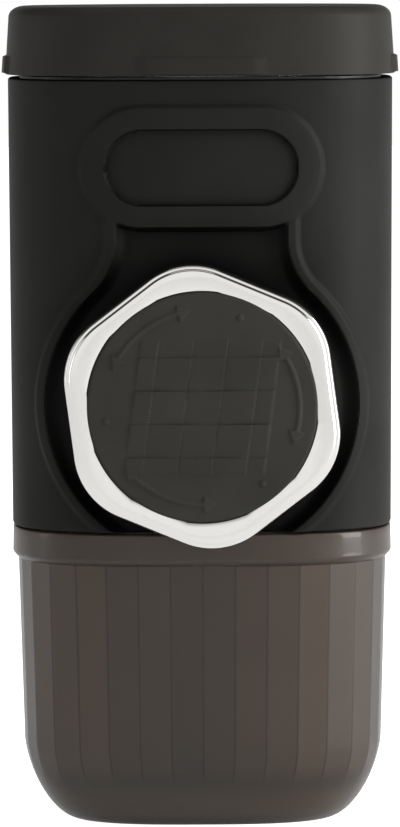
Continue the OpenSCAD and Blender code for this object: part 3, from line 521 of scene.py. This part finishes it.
def hexagon(knob, inset, count):
    """Rounded hexagon drawn in by inset, with denser points in its corners."""
    centre = (knob.apothem - knob.corner) / math.cos(math.radians(30))
    points = []
    for k in range(6):
        at = math.radians(60 * k + 30) + knob.turn
        for t in np.linspace(at - math.radians(30), at + math.radians(30), count):
            r = knob.corner - inset
            points.append(
                (centre * math.cos(at) + r * math.cos(t), centre * math.sin(at) + r * math.sin(t))
            )
    return np.asarray(points)


def build_ring(knob):
    """The trim ring: a rounded hexagon outside, round inside, stepped along its front edge."""
    back, front = -ring_high.y, -ring_low.y
    corner_count = 26
    outer = hexagon(knob, 0.0, corner_count)
    step = (hexagon(knob, 1 * MM, corner_count) - outer) / MM
    turn = np.arctan2(outer[:, 1], outer[:, 0])
    round_in = np.column_stack([np.cos(turn), np.sin(turn)]) * knob.pad_radius
    rows = []
    roll, rim, land, reach, drop_in = 1.4 * MM, 0.5 * MM, 0.75 * MM, 1.25 * MM, 0.34 * MM
    side = 0.5 * MM
    profile = [(side, back)]
    for t in np.linspace(0, 90, 6):
        a = math.radians(t)
        profile.append((side * (1 - math.sin(a)), back + side * (1 - math.cos(a))))
    for t in np.linspace(0, 90, 10):
        a = math.radians(t)
        profile.append((rim * (1 - math.cos(a)), front - roll + (roll - drop_in) * math.sin(a)))
    for s in np.linspace(0, 1, 8):
        rise = float(smoothstep(0.0, 1.0, s))
        profile.append((land + (reach - land) * s, front - drop_in * (1 - rise)))
    for inset, level in profile:
        ring = outer + step * inset
        rows.append(np.column_stack([ring, np.full(len(ring), level)]))
    last = outer + step * reach
    face = ((0.35, 0.03), (0.7, 0.1), (0.92, 0.18), (0.985, 0.27), (1.0, 0.5))
    for s, drop in face:
        ring = last + (round_in - last) * s
        rows.append(np.column_stack([ring, np.full(len(ring), front - drop * MM)]))
    rows.append(np.column_stack([round_in, np.full(len(round_in), back)]))
    ring = skinned("knob_ring_trim", along_knob(rows), wrap_rows=True)
    return sharpen(ring, 50)


def pad_relief(knob, x, y):
    """Leaning facets in the middle of the pad, and turning arrows round them."""
    lean = x - y * math.tan(knob.facet_lean)
    col = lean / knob.facet_w + 0.5
    row = y / knob.facet_h + 0.5
    tilt = col - np.floor(col)
    swell = row - np.floor(row)
    turned = 0.25 - 0.5 * np.mod(np.floor(col) + np.floor(row), 2.0)
    cell = knob.facet_step * ((0.5 + turned) * tilt + (0.5 - turned) * swell)
    patch = smoothstep(2.08, 1.98, np.abs(lean / knob.facet_w)) * smoothstep(
        2.1, 1.9, np.abs(y / knob.facet_h)
    )
    relief = cell * patch
    r, t = np.hypot(x, y), np.degrees(np.arctan2(y, x))
    arrows, dots = (127.0, 248.0, 8.0), (67.0, 188.0, 308.0)
    line, half_span, head, head_l, dot_r = 0.42 * MM, 23.0, 1.5 * MM, 2.3 * MM, 0.6 * MM
    mark = np.full_like(x, 1.0)
    for centre in arrows:
        off = np.mod(t - centre + 180.0, 360.0) - 180.0
        along = np.radians(off) * knob.mark_radius
        across = np.abs(r - knob.mark_radius)
        reach = math.radians(half_span) * knob.mark_radius
        shaft = np.maximum(across - line, np.abs(along) - reach)
        tip = reach + head_l
        back = np.maximum(reach - 0.1 * MM - np.abs(along), 0.0)
        arrow = across - head * np.clip((tip - np.abs(along)) / (tip - reach), 0.0, 1.0) + back * 9
        arrow = np.where(np.abs(along) > tip, 1.0 * MM, arrow)
        mark = np.minimum(mark, np.minimum(shaft, arrow))
    for centre in dots:
        a = math.radians(centre)
        dot = np.hypot(
            x - knob.mark_radius * math.cos(a), y - knob.mark_radius * math.sin(a)
        ) - dot_r
        mark = np.minimum(mark, dot)
    return relief + knob.mark_rise * smoothstep(0.12 * MM, -0.18 * MM, mark)


def build_pad(knob):
    """The domed grip pad with its facets and marks."""
    back, front = -pad_high.y, -pad_low.y
    face, dome_h = front - 0.4 * MM, 0.55 * MM
    radius = knob.pad_radius - 0.06 * MM
    around = 720
    t = np.linspace(0, 2 * math.pi, around, endpoint=False)
    circle = np.column_stack([np.cos(t), np.sin(t)])
    rows = [np.column_stack([circle * radius, np.full(around, back)])]
    edge, spacing = 0.7 * MM, 0.2 * MM
    for a in np.radians(np.linspace(0, 90, 8)):
        r = radius - edge * (1 - math.cos(a))
        level = face - dome_h - edge * (1 - math.sin(a))
        rows.append(np.column_stack([circle * r, np.full(around, level)]))
    for r in np.arange(radius - edge - spacing, 0.15 * MM, -spacing):
        dome = dome_h * (1 - (r / (radius - edge)) ** 2)
        xy = circle * r
        level = face - dome_h + dome + pad_relief(knob, xy[:, 0], xy[:, 1])
        rows.append(np.column_stack([xy, np.minimum(level, front)]))
    pad = skinned("knob_pad_moulding", along_knob(rows), cap_first=True, cap_last=True)
    return sharpen(pad, 60)


def build_cup(body, cup):
    """The smoked cup: flat facets, smooth lip band, thick foot."""
    low, high = cup_low.z, cup_high.z
    band_z = high - cup.band
    half_w, half_d = body.half_w_bottom, body.half_d_bottom
    angles, run = plan_angles(half_w, half_d, body.power, count=cup.facets)
    corners = plan_unit(angles, body.power)
    per = 8
    edge_share = 0.05
    steps = np.concatenate([[0.0, edge_share], np.linspace(0.12, 0.88, per - 3), [1 - edge_share]])
    distances = np.concatenate([(k + steps) * run / cup.facets for k in range(cup.facets)])
    smooth_angles, _ = plan_angles(half_w, half_d, body.power, distances)
    smooth = plan_unit(smooth_angles, body.power)
    following = np.roll(corners, -1, axis=0)
    flat = np.concatenate(
        [corners[k] + (following[k] - corners[k]) * steps[:, None] for k in range(cup.facets)]
    )
    blunted = 0.9992
    flat[::per] *= blunted

    facet_w, facet_d = half_w - cup.inset, half_d - cup.inset

    def draft(z):
        return cup.draft * (band_z - z) / (band_z - low)

    rows = []
    for t in np.linspace(0, 90, 22):
        a = math.radians(t)
        z = low + cup.foot_rise * (1 - max(math.cos(a), 0.0) ** (2 / cup.foot_power))
        share = 1 - math.sin(a) ** (2 / cup.foot_power)
        faceted = smoothstep(6.5 * MM, 12.5 * MM, z - low)
        unit = smooth + (flat - smooth) * faceted
        wide, deep = cup.foot_in * share + draft(z), cup.foot_in_d * share + draft(z)
        rows.append(plan_ring(unit, facet_w - wide, facet_d - deep, z))
    base = band_z - 0.9 * MM
    for z in np.linspace(low + cup.foot_rise, base, 14)[1:]:
        rows.append(plan_ring(flat, facet_w - draft(z), facet_d - draft(z), z))
    step_out = [(0.2, 0.86), (0.45, 0.6), (0.75, 0.3), (1.0, 0.12), (1.25, 0.0)]
    for rise, left in step_out:
        drawn = left * cup.inset
        rows.append(plan_ring(smooth, half_w - drawn, half_d - drawn, base + rise * MM))
    lip = 0.4 * MM
    for z in np.linspace(base + 1.5 * MM, high - lip, 6):
        drawn = cup.band_draft * (z - band_z) / cup.band
        rows.append(plan_ring(smooth, half_w - drawn, half_d - drawn, z))
    for t in np.linspace(0, 90, 5)[1:]:
        a = math.radians(t)
        drawn = cup.band_draft + lip * (1 - math.cos(a))
        z = high - lip * (1 - math.sin(a))
        rows.append(plan_ring(smooth, half_w - drawn, half_d - drawn, z))
    outside = len(rows)
    top_w = half_w - cup.band_draft - cup.wall
    top_d = half_d - cup.band_draft - cup.wall

    def inside(z):
        drawn = cup.draft * (high - z) / (high - low)
        return top_w - drawn, top_d - drawn

    for z in np.linspace(high, low + cup.floor + cup.inner_round, 10):
        a, b = inside(z)
        rows.append(plan_ring(smooth, a, b, z))
    for t in np.linspace(90, 0, 12)[1:]:
        a = math.radians(t)
        z = low + cup.floor + cup.inner_round * (1 - math.cos(a))
        wide, deep = inside(z)
        drawn = cup.inner_round * (1 - math.sin(a))
        rows.append(plan_ring(smooth, wide - drawn, deep - drawn, z))
    cup_obj = skinned("cup_moulding", rows, cap_first=True, cap_last=True)
    # painted shade and light on the cup's facets and foot
    paint_facet_shading(cup_obj, per, len(smooth), outside)
    return sharpen(cup_obj, 38)


def paint_facet_shading(obj, per, around, outside):
    """Painted shade and light on each flat facet, painted shade along the facet edges and painted
    dark and light bands in the foot.
    """
    mesh = obj.data
    tone = mesh.attributes.new("facet_tone", "FLOAT", "POINT")
    index = np.arange(outside * around)
    z = np.array([mesh.vertices[i].co.z for i in index]) - cup_low.z
    facet = index % around // per
    facet = np.where(facet * per < around / 2, facet, facet - around // per)
    # painted shade and light on each flat facet, varying round the cup
    pattern = 0.7 * np.sin(0.75 * facet - 0.9) + 0.3 * np.sin(2.9 * facet)
    # painted shade along each facet's edge
    edge_shade = -1.8
    pattern = np.where(index % per == 0, edge_shade, pattern)
    fade_low, fade_high = 7 * MM, 12 * MM
    facets_top = cup_high.z - cup_low.z - 6 * MM
    shown = smoothstep(fade_low, fade_high, z) * smoothstep(facets_top + 0.3 * MM, facets_top, z)
    # painted dark and light bands round the foot, darkest at its lowest edge
    foot_heights = np.array([0.2, 1.0, 2.2, 4.8, 8.2, 11.5]) * MM
    foot_shading = [-2.2, -1.2, 0.5, 0.4, -0.9, 0.0]
    values = np.zeros(len(mesh.vertices))
    values[: len(index)] = pattern * shown + np.interp(z, foot_heights, foot_shading)
    tone.data.foreach_set("value", values)


def build_thread(name, radius, depth, z0, z1, turns, width):
    """A raised helical thread that fades out at both ends."""
    count = int(turns * 72)
    rows = []
    for i in range(count + 1):
        s = i / count
        t = 2 * math.pi * turns * s
        fade = min(1.0, s * count / 10, (1 - s) * count / 10)
        z = z0 + (z1 - z0) * s
        section = [
            (-0.2 * MM, -width / 2), (depth * fade, -width * 0.22),
            (depth * fade, width * 0.22), (-0.2 * MM, width / 2),
        ]
        rows.append([
            ((radius + r) * math.cos(t), (radius + r) * math.sin(t), z + h) for r, h in section
        ])
    rows = np.asarray(rows)[:, ::-1]
    return sharpen(skinned(name, rows, cap_first=True, cap_last=True), 30)


# ---- materials


def add(nodes, kind, **values):
    """A new shader node with its settings and unlinked inputs set."""
    node = nodes.new(kind)
    for key, value in values.items():
        if hasattr(node, key):
            setattr(node, key, value)
        else:
            node.inputs[key.replace("_", " ")].default_value = value
    return node


FINISH = "_finish"  # the frame's own materials have the bare names


def principled(name, **values):
    """The node tree and the Principled shader of a new material."""
    mat = bpy.data.materials.new(name + FINISH)
    mat.use_nodes = True
    tree = mat.node_tree
    shader = tree.nodes["Principled BSDF"]
    for key, value in values.items():
        shader.inputs[key].default_value = value
    return tree, shader


def object_coords(tree):
    return add(tree.nodes, "ShaderNodeTexCoord").outputs["Object"]


def noise(tree, coords, scale, detail=3.0, rough=0.55):
    node = add(tree.nodes, "ShaderNodeTexNoise", Scale=scale, Detail=detail, Roughness=rough)
    tree.links.new(coords, node.inputs["Vector"])
    return node.outputs["Fac"]


def ramp(tree, value, stops):
    """A colour ramp over a value, from (place, colour) stops."""
    node = add(tree.nodes, "ShaderNodeValToRGB")
    band = node.color_ramp
    while len(band.elements) < len(stops):
        band.elements.new(0.5)
    for element, (place, tone) in zip(band.elements, stops):
        element.position = place
        element.color = (*tone, 1.0)
    tree.links.new(value, node.inputs["Fac"])
    return node.outputs["Color"]


def spread(tree, value, low, high):
    """The value 0 to 1 mapped to low to high."""
    node = add(tree.nodes, "ShaderNodeMapRange")
    node.inputs["To Min"].default_value = low
    node.inputs["To Max"].default_value = high
    tree.links.new(value, node.inputs["Value"])
    return node.outputs["Result"]


def bump(tree, shader, height, strength, depth):
    node = add(tree.nodes, "ShaderNodeBump", Strength=strength, Distance=depth)
    tree.links.new(height, node.inputs["Height"])
    tree.links.new(node.outputs["Normal"], shader.inputs["Normal"])


def shade(tone, factor):
    return tuple(min(1.0, c * factor) for c in tone)


def scaled(tree, colour, factor):
    """The colour times a value."""
    tint = add(tree.nodes, "ShaderNodeVectorMath", operation="SCALE")
    tree.links.new(colour, tint.inputs[0])
    tree.links.new(factor, tint.inputs["Scale"])
    return tint.outputs["Vector"]


def painted_hollow_shade(tree, colour, reach, power):
    """The colour with painted shade: darker in recesses narrower than reach, by ambient occlusion.
    """
    hollow = add(tree.nodes, "ShaderNodeAmbientOcclusion", Distance=reach)
    deepen = add(tree.nodes, "ShaderNodeMath", operation="POWER")
    deepen.inputs[1].default_value = power
    tree.links.new(hollow.outputs["AO"], deepen.inputs[0])
    return scaled(tree, colour, deepen.outputs["Value"])


def moulded(name, tone, rough, grain, grain_depth, mottling=0.14, hollow_shade=None, **extra):
    """Moulded plastic or rubber: faint mottling, uneven gloss, a fine moulded grain and, where
    given, painted shade in its recesses.
    """
    tree, shader = principled(name, **extra)
    coords = object_coords(tree)
    mottle = noise(tree, coords, 55.0, 4.0)
    colour = ramp(tree, mottle, [
        (0.3, shade(tone, 1 - mottling)), (0.5, tone), (0.72, shade(tone, 1 + mottling)),
    ])
    # painted shade: the base colour darkens by ambient occlusion in recesses
    if hollow_shade:
        colour = painted_hollow_shade(tree, colour, *hollow_shade)
    tree.links.new(colour, shader.inputs["Base Color"])
    smudge = noise(tree, coords, 32.0, 5.0, 0.6)
    tree.links.new(spread(tree, smudge, rough - 0.06, rough + 0.06), shader.inputs["Roughness"])
    fine = noise(tree, coords, grain, 2.0, 0.5)
    bump(tree, shader, fine, 0.5, grain_depth)


def polished_trim(name, tone):
    """Satin chrome with faint polishing marks."""
    tree, shader = principled(name, Metallic=1.0)
    coords = object_coords(tree)
    cloud = noise(tree, coords, 60.0, 4.0)
    tree.links.new(
        ramp(tree, cloud, [(0.35, shade(tone, 0.97)), (0.7, tone)]), shader.inputs["Base Color"]
    )
    marks = noise(tree, coords, 700.0, 6.0, 0.7)
    tree.links.new(spread(tree, marks, 0.11, 0.19), shader.inputs["Roughness"])
    bump(tree, shader, noise(tree, coords, 240.0, 3.0), 0.05, 0.02 * MM)


def brushed_metal(name, tone, rough, axis=2):
    """Stainless steel, brushed round its axis."""
    tree, shader = principled(name, Metallic=1.0)
    coords = object_coords(tree)
    squeeze = add(tree.nodes, "ShaderNodeMapping")
    scale = [60.0, 60.0, 60.0]
    scale[axis] = 2600.0
    squeeze.inputs["Scale"].default_value = scale
    tree.links.new(coords, squeeze.inputs["Vector"])
    lines = noise(tree, squeeze.outputs["Vector"], 1.0, 4.0, 0.65)
    tree.links.new(
        ramp(tree, lines, [(0.3, shade(tone, 0.82)), (0.7, shade(tone, 1.08))]),
        shader.inputs["Base Color"],
    )
    tree.links.new(spread(tree, lines, rough - 0.06, rough + 0.08), shader.inputs["Roughness"])
    bump(tree, shader, lines, 0.12, 0.01 * MM)


def smoked(name, tone, density):
    """Smoked see-through plastic, frosted inside, darker where it is thick, with painted shade and
    light on each facet.
    """
    surface = {
        "Transmission Weight": 0.8, "IOR": 1.4, "Specular IOR Level": 0.2,
        "Coat Weight": 0.3, "Coat Roughness": 0.09,
    }
    tree, shader = principled(name, **surface)
    coords = object_coords(tree)
    haze = noise(tree, coords, 45.0, 3.0)
    colour = ramp(tree, haze, [(0.3, shade(tone, 0.93)), (0.7, shade(tone, 1.07))])
    # painted shade and light per cup facet: the facet attribute scales the base colour
    facet = add(tree.nodes, "ShaderNodeAttribute", attribute_name="facet_tone")
    contrast = 0.42
    facet_shade_scale = add(tree.nodes, "ShaderNodeMath", operation="MULTIPLY_ADD")
    facet_shade_scale.inputs[1].default_value = contrast
    facet_shade_scale.inputs[2].default_value = 1.0
    tree.links.new(facet.outputs["Fac"], facet_shade_scale.inputs[0])
    tree.links.new(scaled(tree, colour, facet_shade_scale.outputs["Value"]), shader.inputs["Base Color"])
    tree.links.new(spread(tree, haze, 0.48, 0.56), shader.inputs["Roughness"])
    bump(tree, shader, noise(tree, coords, 900.0, 2.0), 0.08, 0.01 * MM)
    depth = add(tree.nodes, "ShaderNodeVolumeAbsorption")
    depth.inputs["Color"].default_value = (*tone, 1.0)
    depth.inputs["Density"].default_value = density
    out = tree.nodes["Material Output"]
    tree.links.new(depth.outputs["Volume"], out.inputs["Volume"])


def clear_plastic(name, tone):
    """Clear moulded plastic with faint flow marks."""
    tree, shader = principled(name, **{"Transmission Weight": 0.92, "IOR": 1.49})
    coords = object_coords(tree)
    flow = noise(tree, coords, 38.0, 4.0)
    tree.links.new(
        ramp(tree, flow, [(0.35, shade(tone, 0.94)), (0.7, tone)]), shader.inputs["Base Color"]
    )
    tree.links.new(spread(tree, flow, 0.06, 0.14), shader.inputs["Roughness"])
    bump(tree, shader, noise(tree, coords, 120.0, 2.0), 0.05, 0.03 * MM)


def make_finishes(tones):
    """The material of every slot in the record."""
    dull = {"Specular IOR Level": 0.06}
    steel = tuple(tones.steel)
    moulded("cap_plastic", tuple(tones.cap), 0.5, 2600.0, 0.012 * MM, **dull)
    # painted shade: the body shell's colour darkens by ambient occlusion in its dish and round the
    # knob
    moulded(
        "shell_plastic", tuple(tones.shell), 0.55, 2300.0, 0.02 * MM,
        hollow_shade=(14 * MM, 4.0), **dull
    )
    # painted shade in the grip pad's recesses
    moulded(
        "pad_rubber", tuple(tones.pad), 0.5, 3000.0, 0.012 * MM,
        hollow_shade=(2 * MM, 1.5), **dull
    )
    polished_trim("trim_metal", tuple(tones.trim))
    smoked("cup_smoke", tuple(tones.smoke), 300.0)
    clear_plastic("tank_clear", tuple(tones.clear))
    moulded("silicone", tuple(tones.silicone), 0.42, 1500.0, 0.01 * MM)
    moulded("chassis_plastic", tuple(tones.chassis), 0.45, 2000.0, 0.015 * MM)
    moulded("outlet_plastic", (0.022, 0.022, 0.022), 0.4, 2200.0, 0.012 * MM)
    moulded("gland_plastic", (0.62, 0.6, 0.55), 0.35, 1800.0, 0.008 * MM)
    moulded("seal_rubber", (0.012, 0.012, 0.012), 0.5, 1600.0, 0.01 * MM)
    moulded("gasket_rubber", (0.3, 0.06, 0.035), 0.45, 1500.0, 0.01 * MM)
    brushed_metal("stainless", steel, 0.26)
    brushed_metal("spring_steel", shade(steel, 0.9), 0.22, 1)


def finish_of(slot):
    return bpy.data.materials[slot + FINISH]


def dress(obj, slot, body, *replaced):
    """Gives a new piece its finish, its body and the nodes it stands for."""
    obj.data.materials.clear()
    obj.data.materials.append(finish_of(slot))
    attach(obj, body)
    if replaced:
        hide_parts(*replaced)


# ---- operators


class MAKER_OT_finishes(bpy.types.Operator):
    """Make every finish and lay it on the pieces that the frame brings"""

    bl_idname = "maker.finishes"
    bl_label = "Finishes"

    def execute(self, context):
        make_finishes(context.scene.maker_finish)
        for part in frame["record"]["subparts"]:
            node = frame["nodes"][part["node"]]
            node.data.materials.clear()
            node.data.materials.append(finish_of(part["material_slot"]))
            sharpen_frame_node(node)
        return {"FINISHED"}


def sharpen_frame_node(node):
    """Smooth shading with crisp edges on a piece that the frame brings."""
    mesh = node.data
    mesh.polygons.foreach_set("use_smooth", [True] * len(mesh.polygons))
    mesh.set_sharp_from_angle(angle=math.radians(28))


class MAKER_OT_shell(bpy.types.Operator):
    """Add the body shell with its dish, ridge and badge"""

    bl_idname = "maker.shell"
    bl_label = "Body shell"

    def execute(self, context):
        shell = build_shell(context.scene.maker_body)
        dress(shell, "shell_plastic", "main", "body_shell")
        return {"FINISHED"}


class MAKER_OT_cap(bpy.types.Operator):
    """Add the tank cap with its finger lips"""

    bl_idname = "maker.cap"
    bl_label = "Tank cap"

    def execute(self, context):
        cap = build_cap(context.scene.maker_body, context.scene.maker_cap)
        dress(cap, "cap_plastic", "tank", "tank_cap")
        return {"FINISHED"}


class MAKER_OT_knob(bpy.types.Operator):
    """Add the knob's trim ring and grip pad"""

    bl_idname = "maker.knob"
    bl_label = "Piston knob"

    def execute(self, context):
        knob = context.scene.maker_knob
        dress(build_ring(knob), "trim_metal", "knob", "knob_ring")
        dress(build_pad(knob), "pad_rubber", "knob", "knob_pad")
        return {"FINISHED"}


class MAKER_OT_cup(bpy.types.Operator):
    """Add the smoked drinking cup"""

    bl_idname = "maker.cup"
    bl_label = "Drinking cup"

    def execute(self, context):
        cup = build_cup(context.scene.maker_body, context.scene.maker_cup)
        dress(cup, "cup_smoke", "cup", "cup")
        return {"FINISHED"}


class MAKER_OT_threads(bpy.types.Operator):
    """Add the screw threads of the group spigot and the tank's mouth"""

    bl_idname = "maker.threads"
    bl_label = "Threads"

    def execute(self, context):
        spigot_r, turns, width, height = 21 * MM, 1.25, 1.4 * MM, 5 * MM
        start = deck_low.z + 1.2 * MM
        spigot = build_thread(
            "spigot_thread", spigot_r, 0.2 * MM, start, start + height, turns, width
        )
        dress(spigot, "chassis_plastic", "main")
        start = vessel_low.z + 2 * MM
        mouth = build_thread(
            "tank_mouth_thread", vessel_high.x, 0.26 * MM, start, start + height, turns, width
        )
        dress(mouth, "tank_clear", "tank")
        return {"FINISHED"}


def area_light(name, size, energy, location, aim):
    lamp = bpy.data.lights.new(name, "AREA")
    lamp.shape = "RECTANGLE"
    lamp.size, lamp.size_y = size
    lamp.energy = energy
    obj = bpy.data.objects.new(name, lamp)
    obj.location = location
    direction = Vector(aim) - Vector(location)
    obj.rotation_euler = direction.to_track_quat("-Z", "Y").to_euler()
    bpy.context.scene.collection.objects.link(obj)


def seen_directly(tree):
    """1 for rays from the camera, also through clear pieces, less in gloss, else 0."""
    path = add(tree.nodes, "ShaderNodeLightPath")
    either = add(tree.nodes, "ShaderNodeMath", operation="MAXIMUM")
    tree.links.new(path.outputs["Is Camera Ray"], either.inputs[0])
    tree.links.new(path.outputs["Is Transmission Ray"], either.inputs[1])
    in_gloss = 0.5
    gloss = add(tree.nodes, "ShaderNodeMath", operation="MULTIPLY")
    gloss.inputs[1].default_value = in_gloss
    tree.links.new(path.outputs["Is Glossy Ray"], gloss.inputs[0])
    level = add(tree.nodes, "ShaderNodeMath", operation="MAXIMUM")
    tree.links.new(either.outputs["Value"], level.inputs[0])
    tree.links.new(gloss.outputs["Value"], level.inputs[1])
    return level.outputs["Value"]


class MAKER_OT_stage(bpy.types.Operator):
    """Set the white floor, the studio lights and the camera"""

    bl_idname = "maker.stage"
    bl_label = "Stage"

    def execute(self, context):
        self.floor()
        self.lights()
        self.world(context.scene)
        self.camera(context.scene)
        return {"FINISHED"}

    def floor(self):
        """A wide pale floor; beyond it the world is as white."""
        radius, sides, white = 4.0, 64, 0.95
        turns = np.linspace(0, 2 * math.pi, sides, endpoint=False)
        verts = [(radius * math.cos(t), radius * math.sin(t), 0.0) for t in turns]
        floor = make_object("floor_disc", verts, [list(range(sides))])
        mat = bpy.data.materials.new("floor_white")
        mat.use_nodes = True
        tree = mat.node_tree
        tree.nodes.remove(tree.nodes["Principled BSDF"])
        diffuse = add(tree.nodes, "ShaderNodeBsdfDiffuse", Color=(0.8, 0.8, 0.8, 1.0))
        glow = add(tree.nodes, "ShaderNodeEmission", Color=(1.0, 1.0, 1.0, 1.0))
        level = add(tree.nodes, "ShaderNodeMath", operation="MULTIPLY")
        level.inputs[1].default_value = white
        tree.links.new(seen_directly(tree), level.inputs[0])
        tree.links.new(level.outputs["Value"], glow.inputs["Strength"])
        both = add(tree.nodes, "ShaderNodeAddShader")
        tree.links.new(diffuse.outputs["BSDF"], both.inputs[0])
        tree.links.new(glow.outputs["Emission"], both.inputs[1])
        tree.links.new(both.outputs["Shader"], tree.nodes["Material Output"].inputs["Surface"])
        floor.data.materials.append(mat)

    def lights(self):
        middle = (0.0, 0.0, 0.08)
        area_light("front", (3.0, 2.4), 12.0, (0.0, -1.8, 0.6), middle)
        area_light("side_right", (0.5, 0.9), 17.0, (1.0, -0.2, 0.3), middle)
        area_light("side_left", (0.3, 0.8), 1.4, (-0.95, 0.0, 0.3), middle)
        area_light("top", (0.7, 0.7), 0.9, (0.0, 0.1, 1.0), middle)

    def world(self, scene):
        world = scene.world or bpy.data.worlds.new("studio")
        scene.world = world
        world.use_nodes = True
        tree = world.node_tree
        back = tree.nodes["Background"]
        back.inputs["Color"].default_value = (1.0, 1.0, 1.0, 1.0)
        level = spread(tree, seen_directly(tree), 0.35, 1.0)
        strength = add(tree.nodes, "ShaderNodeMath", operation="MULTIPLY")
        tree.links.new(level, strength.inputs[0])
        tree.links.new(self.ceiling(tree), strength.inputs[1])
        tree.links.new(strength.outputs["Value"], back.inputs["Strength"])

    def ceiling(self, tree):
        """1, but low for gloss that looks up, as under a studio's dark ceiling."""
        height = add(tree.nodes, "ShaderNodeSeparateXYZ")
        around = add(tree.nodes, "ShaderNodeTexCoord")
        tree.links.new(around.outputs["Generated"], height.inputs["Vector"])
        above = add(tree.nodes, "ShaderNodeMapRange")
        above.interpolation_type = "SMOOTHSTEP"
        above.inputs["From Min"].default_value = 0.2
        above.inputs["From Max"].default_value = 0.45
        above.inputs["To Max"].default_value = 0.93
        tree.links.new(height.outputs["Z"], above.inputs["Value"])
        path = add(tree.nodes, "ShaderNodeLightPath")
        dimmed = add(tree.nodes, "ShaderNodeMath", operation="MULTIPLY")
        tree.links.new(path.outputs["Is Glossy Ray"], dimmed.inputs[0])
        tree.links.new(above.outputs["Result"], dimmed.inputs[1])
        left = add(tree.nodes, "ShaderNodeMath", operation="SUBTRACT")
        left.inputs[0].default_value = 1.0
        tree.links.new(dimmed.outputs["Value"], left.inputs[1])
        return left.outputs["Value"]

    def camera(self, scene):
        stage = scene.maker_stage
        lens_data = bpy.data.cameras.new("photo_camera")
        camera = bpy.data.objects.new("photo_camera", lens_data)
        scene.collection.objects.link(camera)
        camera.location = (stage.camera_x, -stage.distance, stage.camera_z)
        aim = Vector((stage.aim_x, 0.0, stage.aim_z)) - camera.location
        turn = aim.to_track_quat("-Z", "Y").to_matrix().to_4x4()
        turn = turn @ Matrix.Rotation(stage.roll, 4, "Z")
        camera.matrix_world = Matrix.Translation(camera.location) @ turn
        focal_px = stage.scale * stage.distance / MM
        lens_data.sensor_fit = "VERTICAL"
        lens_data.sensor_height = 24.0
        lens_data.lens = focal_px / IMAGE_H * lens_data.sensor_height
        lens_data.clip_start = 0.01
        lens_data.clip_end = 50.0
        scene.camera = camera
        scene.view_settings.view_transform = "Standard"


class MAKER_PT_panel(bpy.types.Panel):
    """Espresso maker in the sidebar"""

    bl_idname = "MAKER_PT_panel"
    bl_label = "Espresso maker"
    bl_space_type = "VIEW_3D"
    bl_region_type = "UI"
    bl_category = "Espresso maker"

    def draw(self, context):
        for operator in OPERATORS:
            self.layout.operator(operator.bl_idname)


OPERATORS = (
    MAKER_OT_finishes,
    MAKER_OT_shell,
    MAKER_OT_cap,
    MAKER_OT_knob,
    MAKER_OT_cup,
    MAKER_OT_threads,
    MAKER_OT_stage,
)
CLASSES = (*GROUPS.values(), *OPERATORS, MAKER_PT_panel)


def register():
    for cls in CLASSES:
        bpy.utils.register_class(cls)
    for name, group in GROUPS.items():
        setattr(bpy.types.Scene, name, PointerProperty(type=group))


def unregister():
    for name in GROUPS:
        delattr(bpy.types.Scene, name)
    for cls in reversed(CLASSES):
        bpy.utils.unregister_class(cls)


def main():
    register()
    bpy.ops.maker.finishes()
    bpy.ops.maker.shell()
    bpy.ops.maker.cap()
    bpy.ops.maker.knob()
    bpy.ops.maker.cup()
    bpy.ops.maker.threads()
    bpy.ops.maker.stage()


if __name__ == "__main__":
    main()
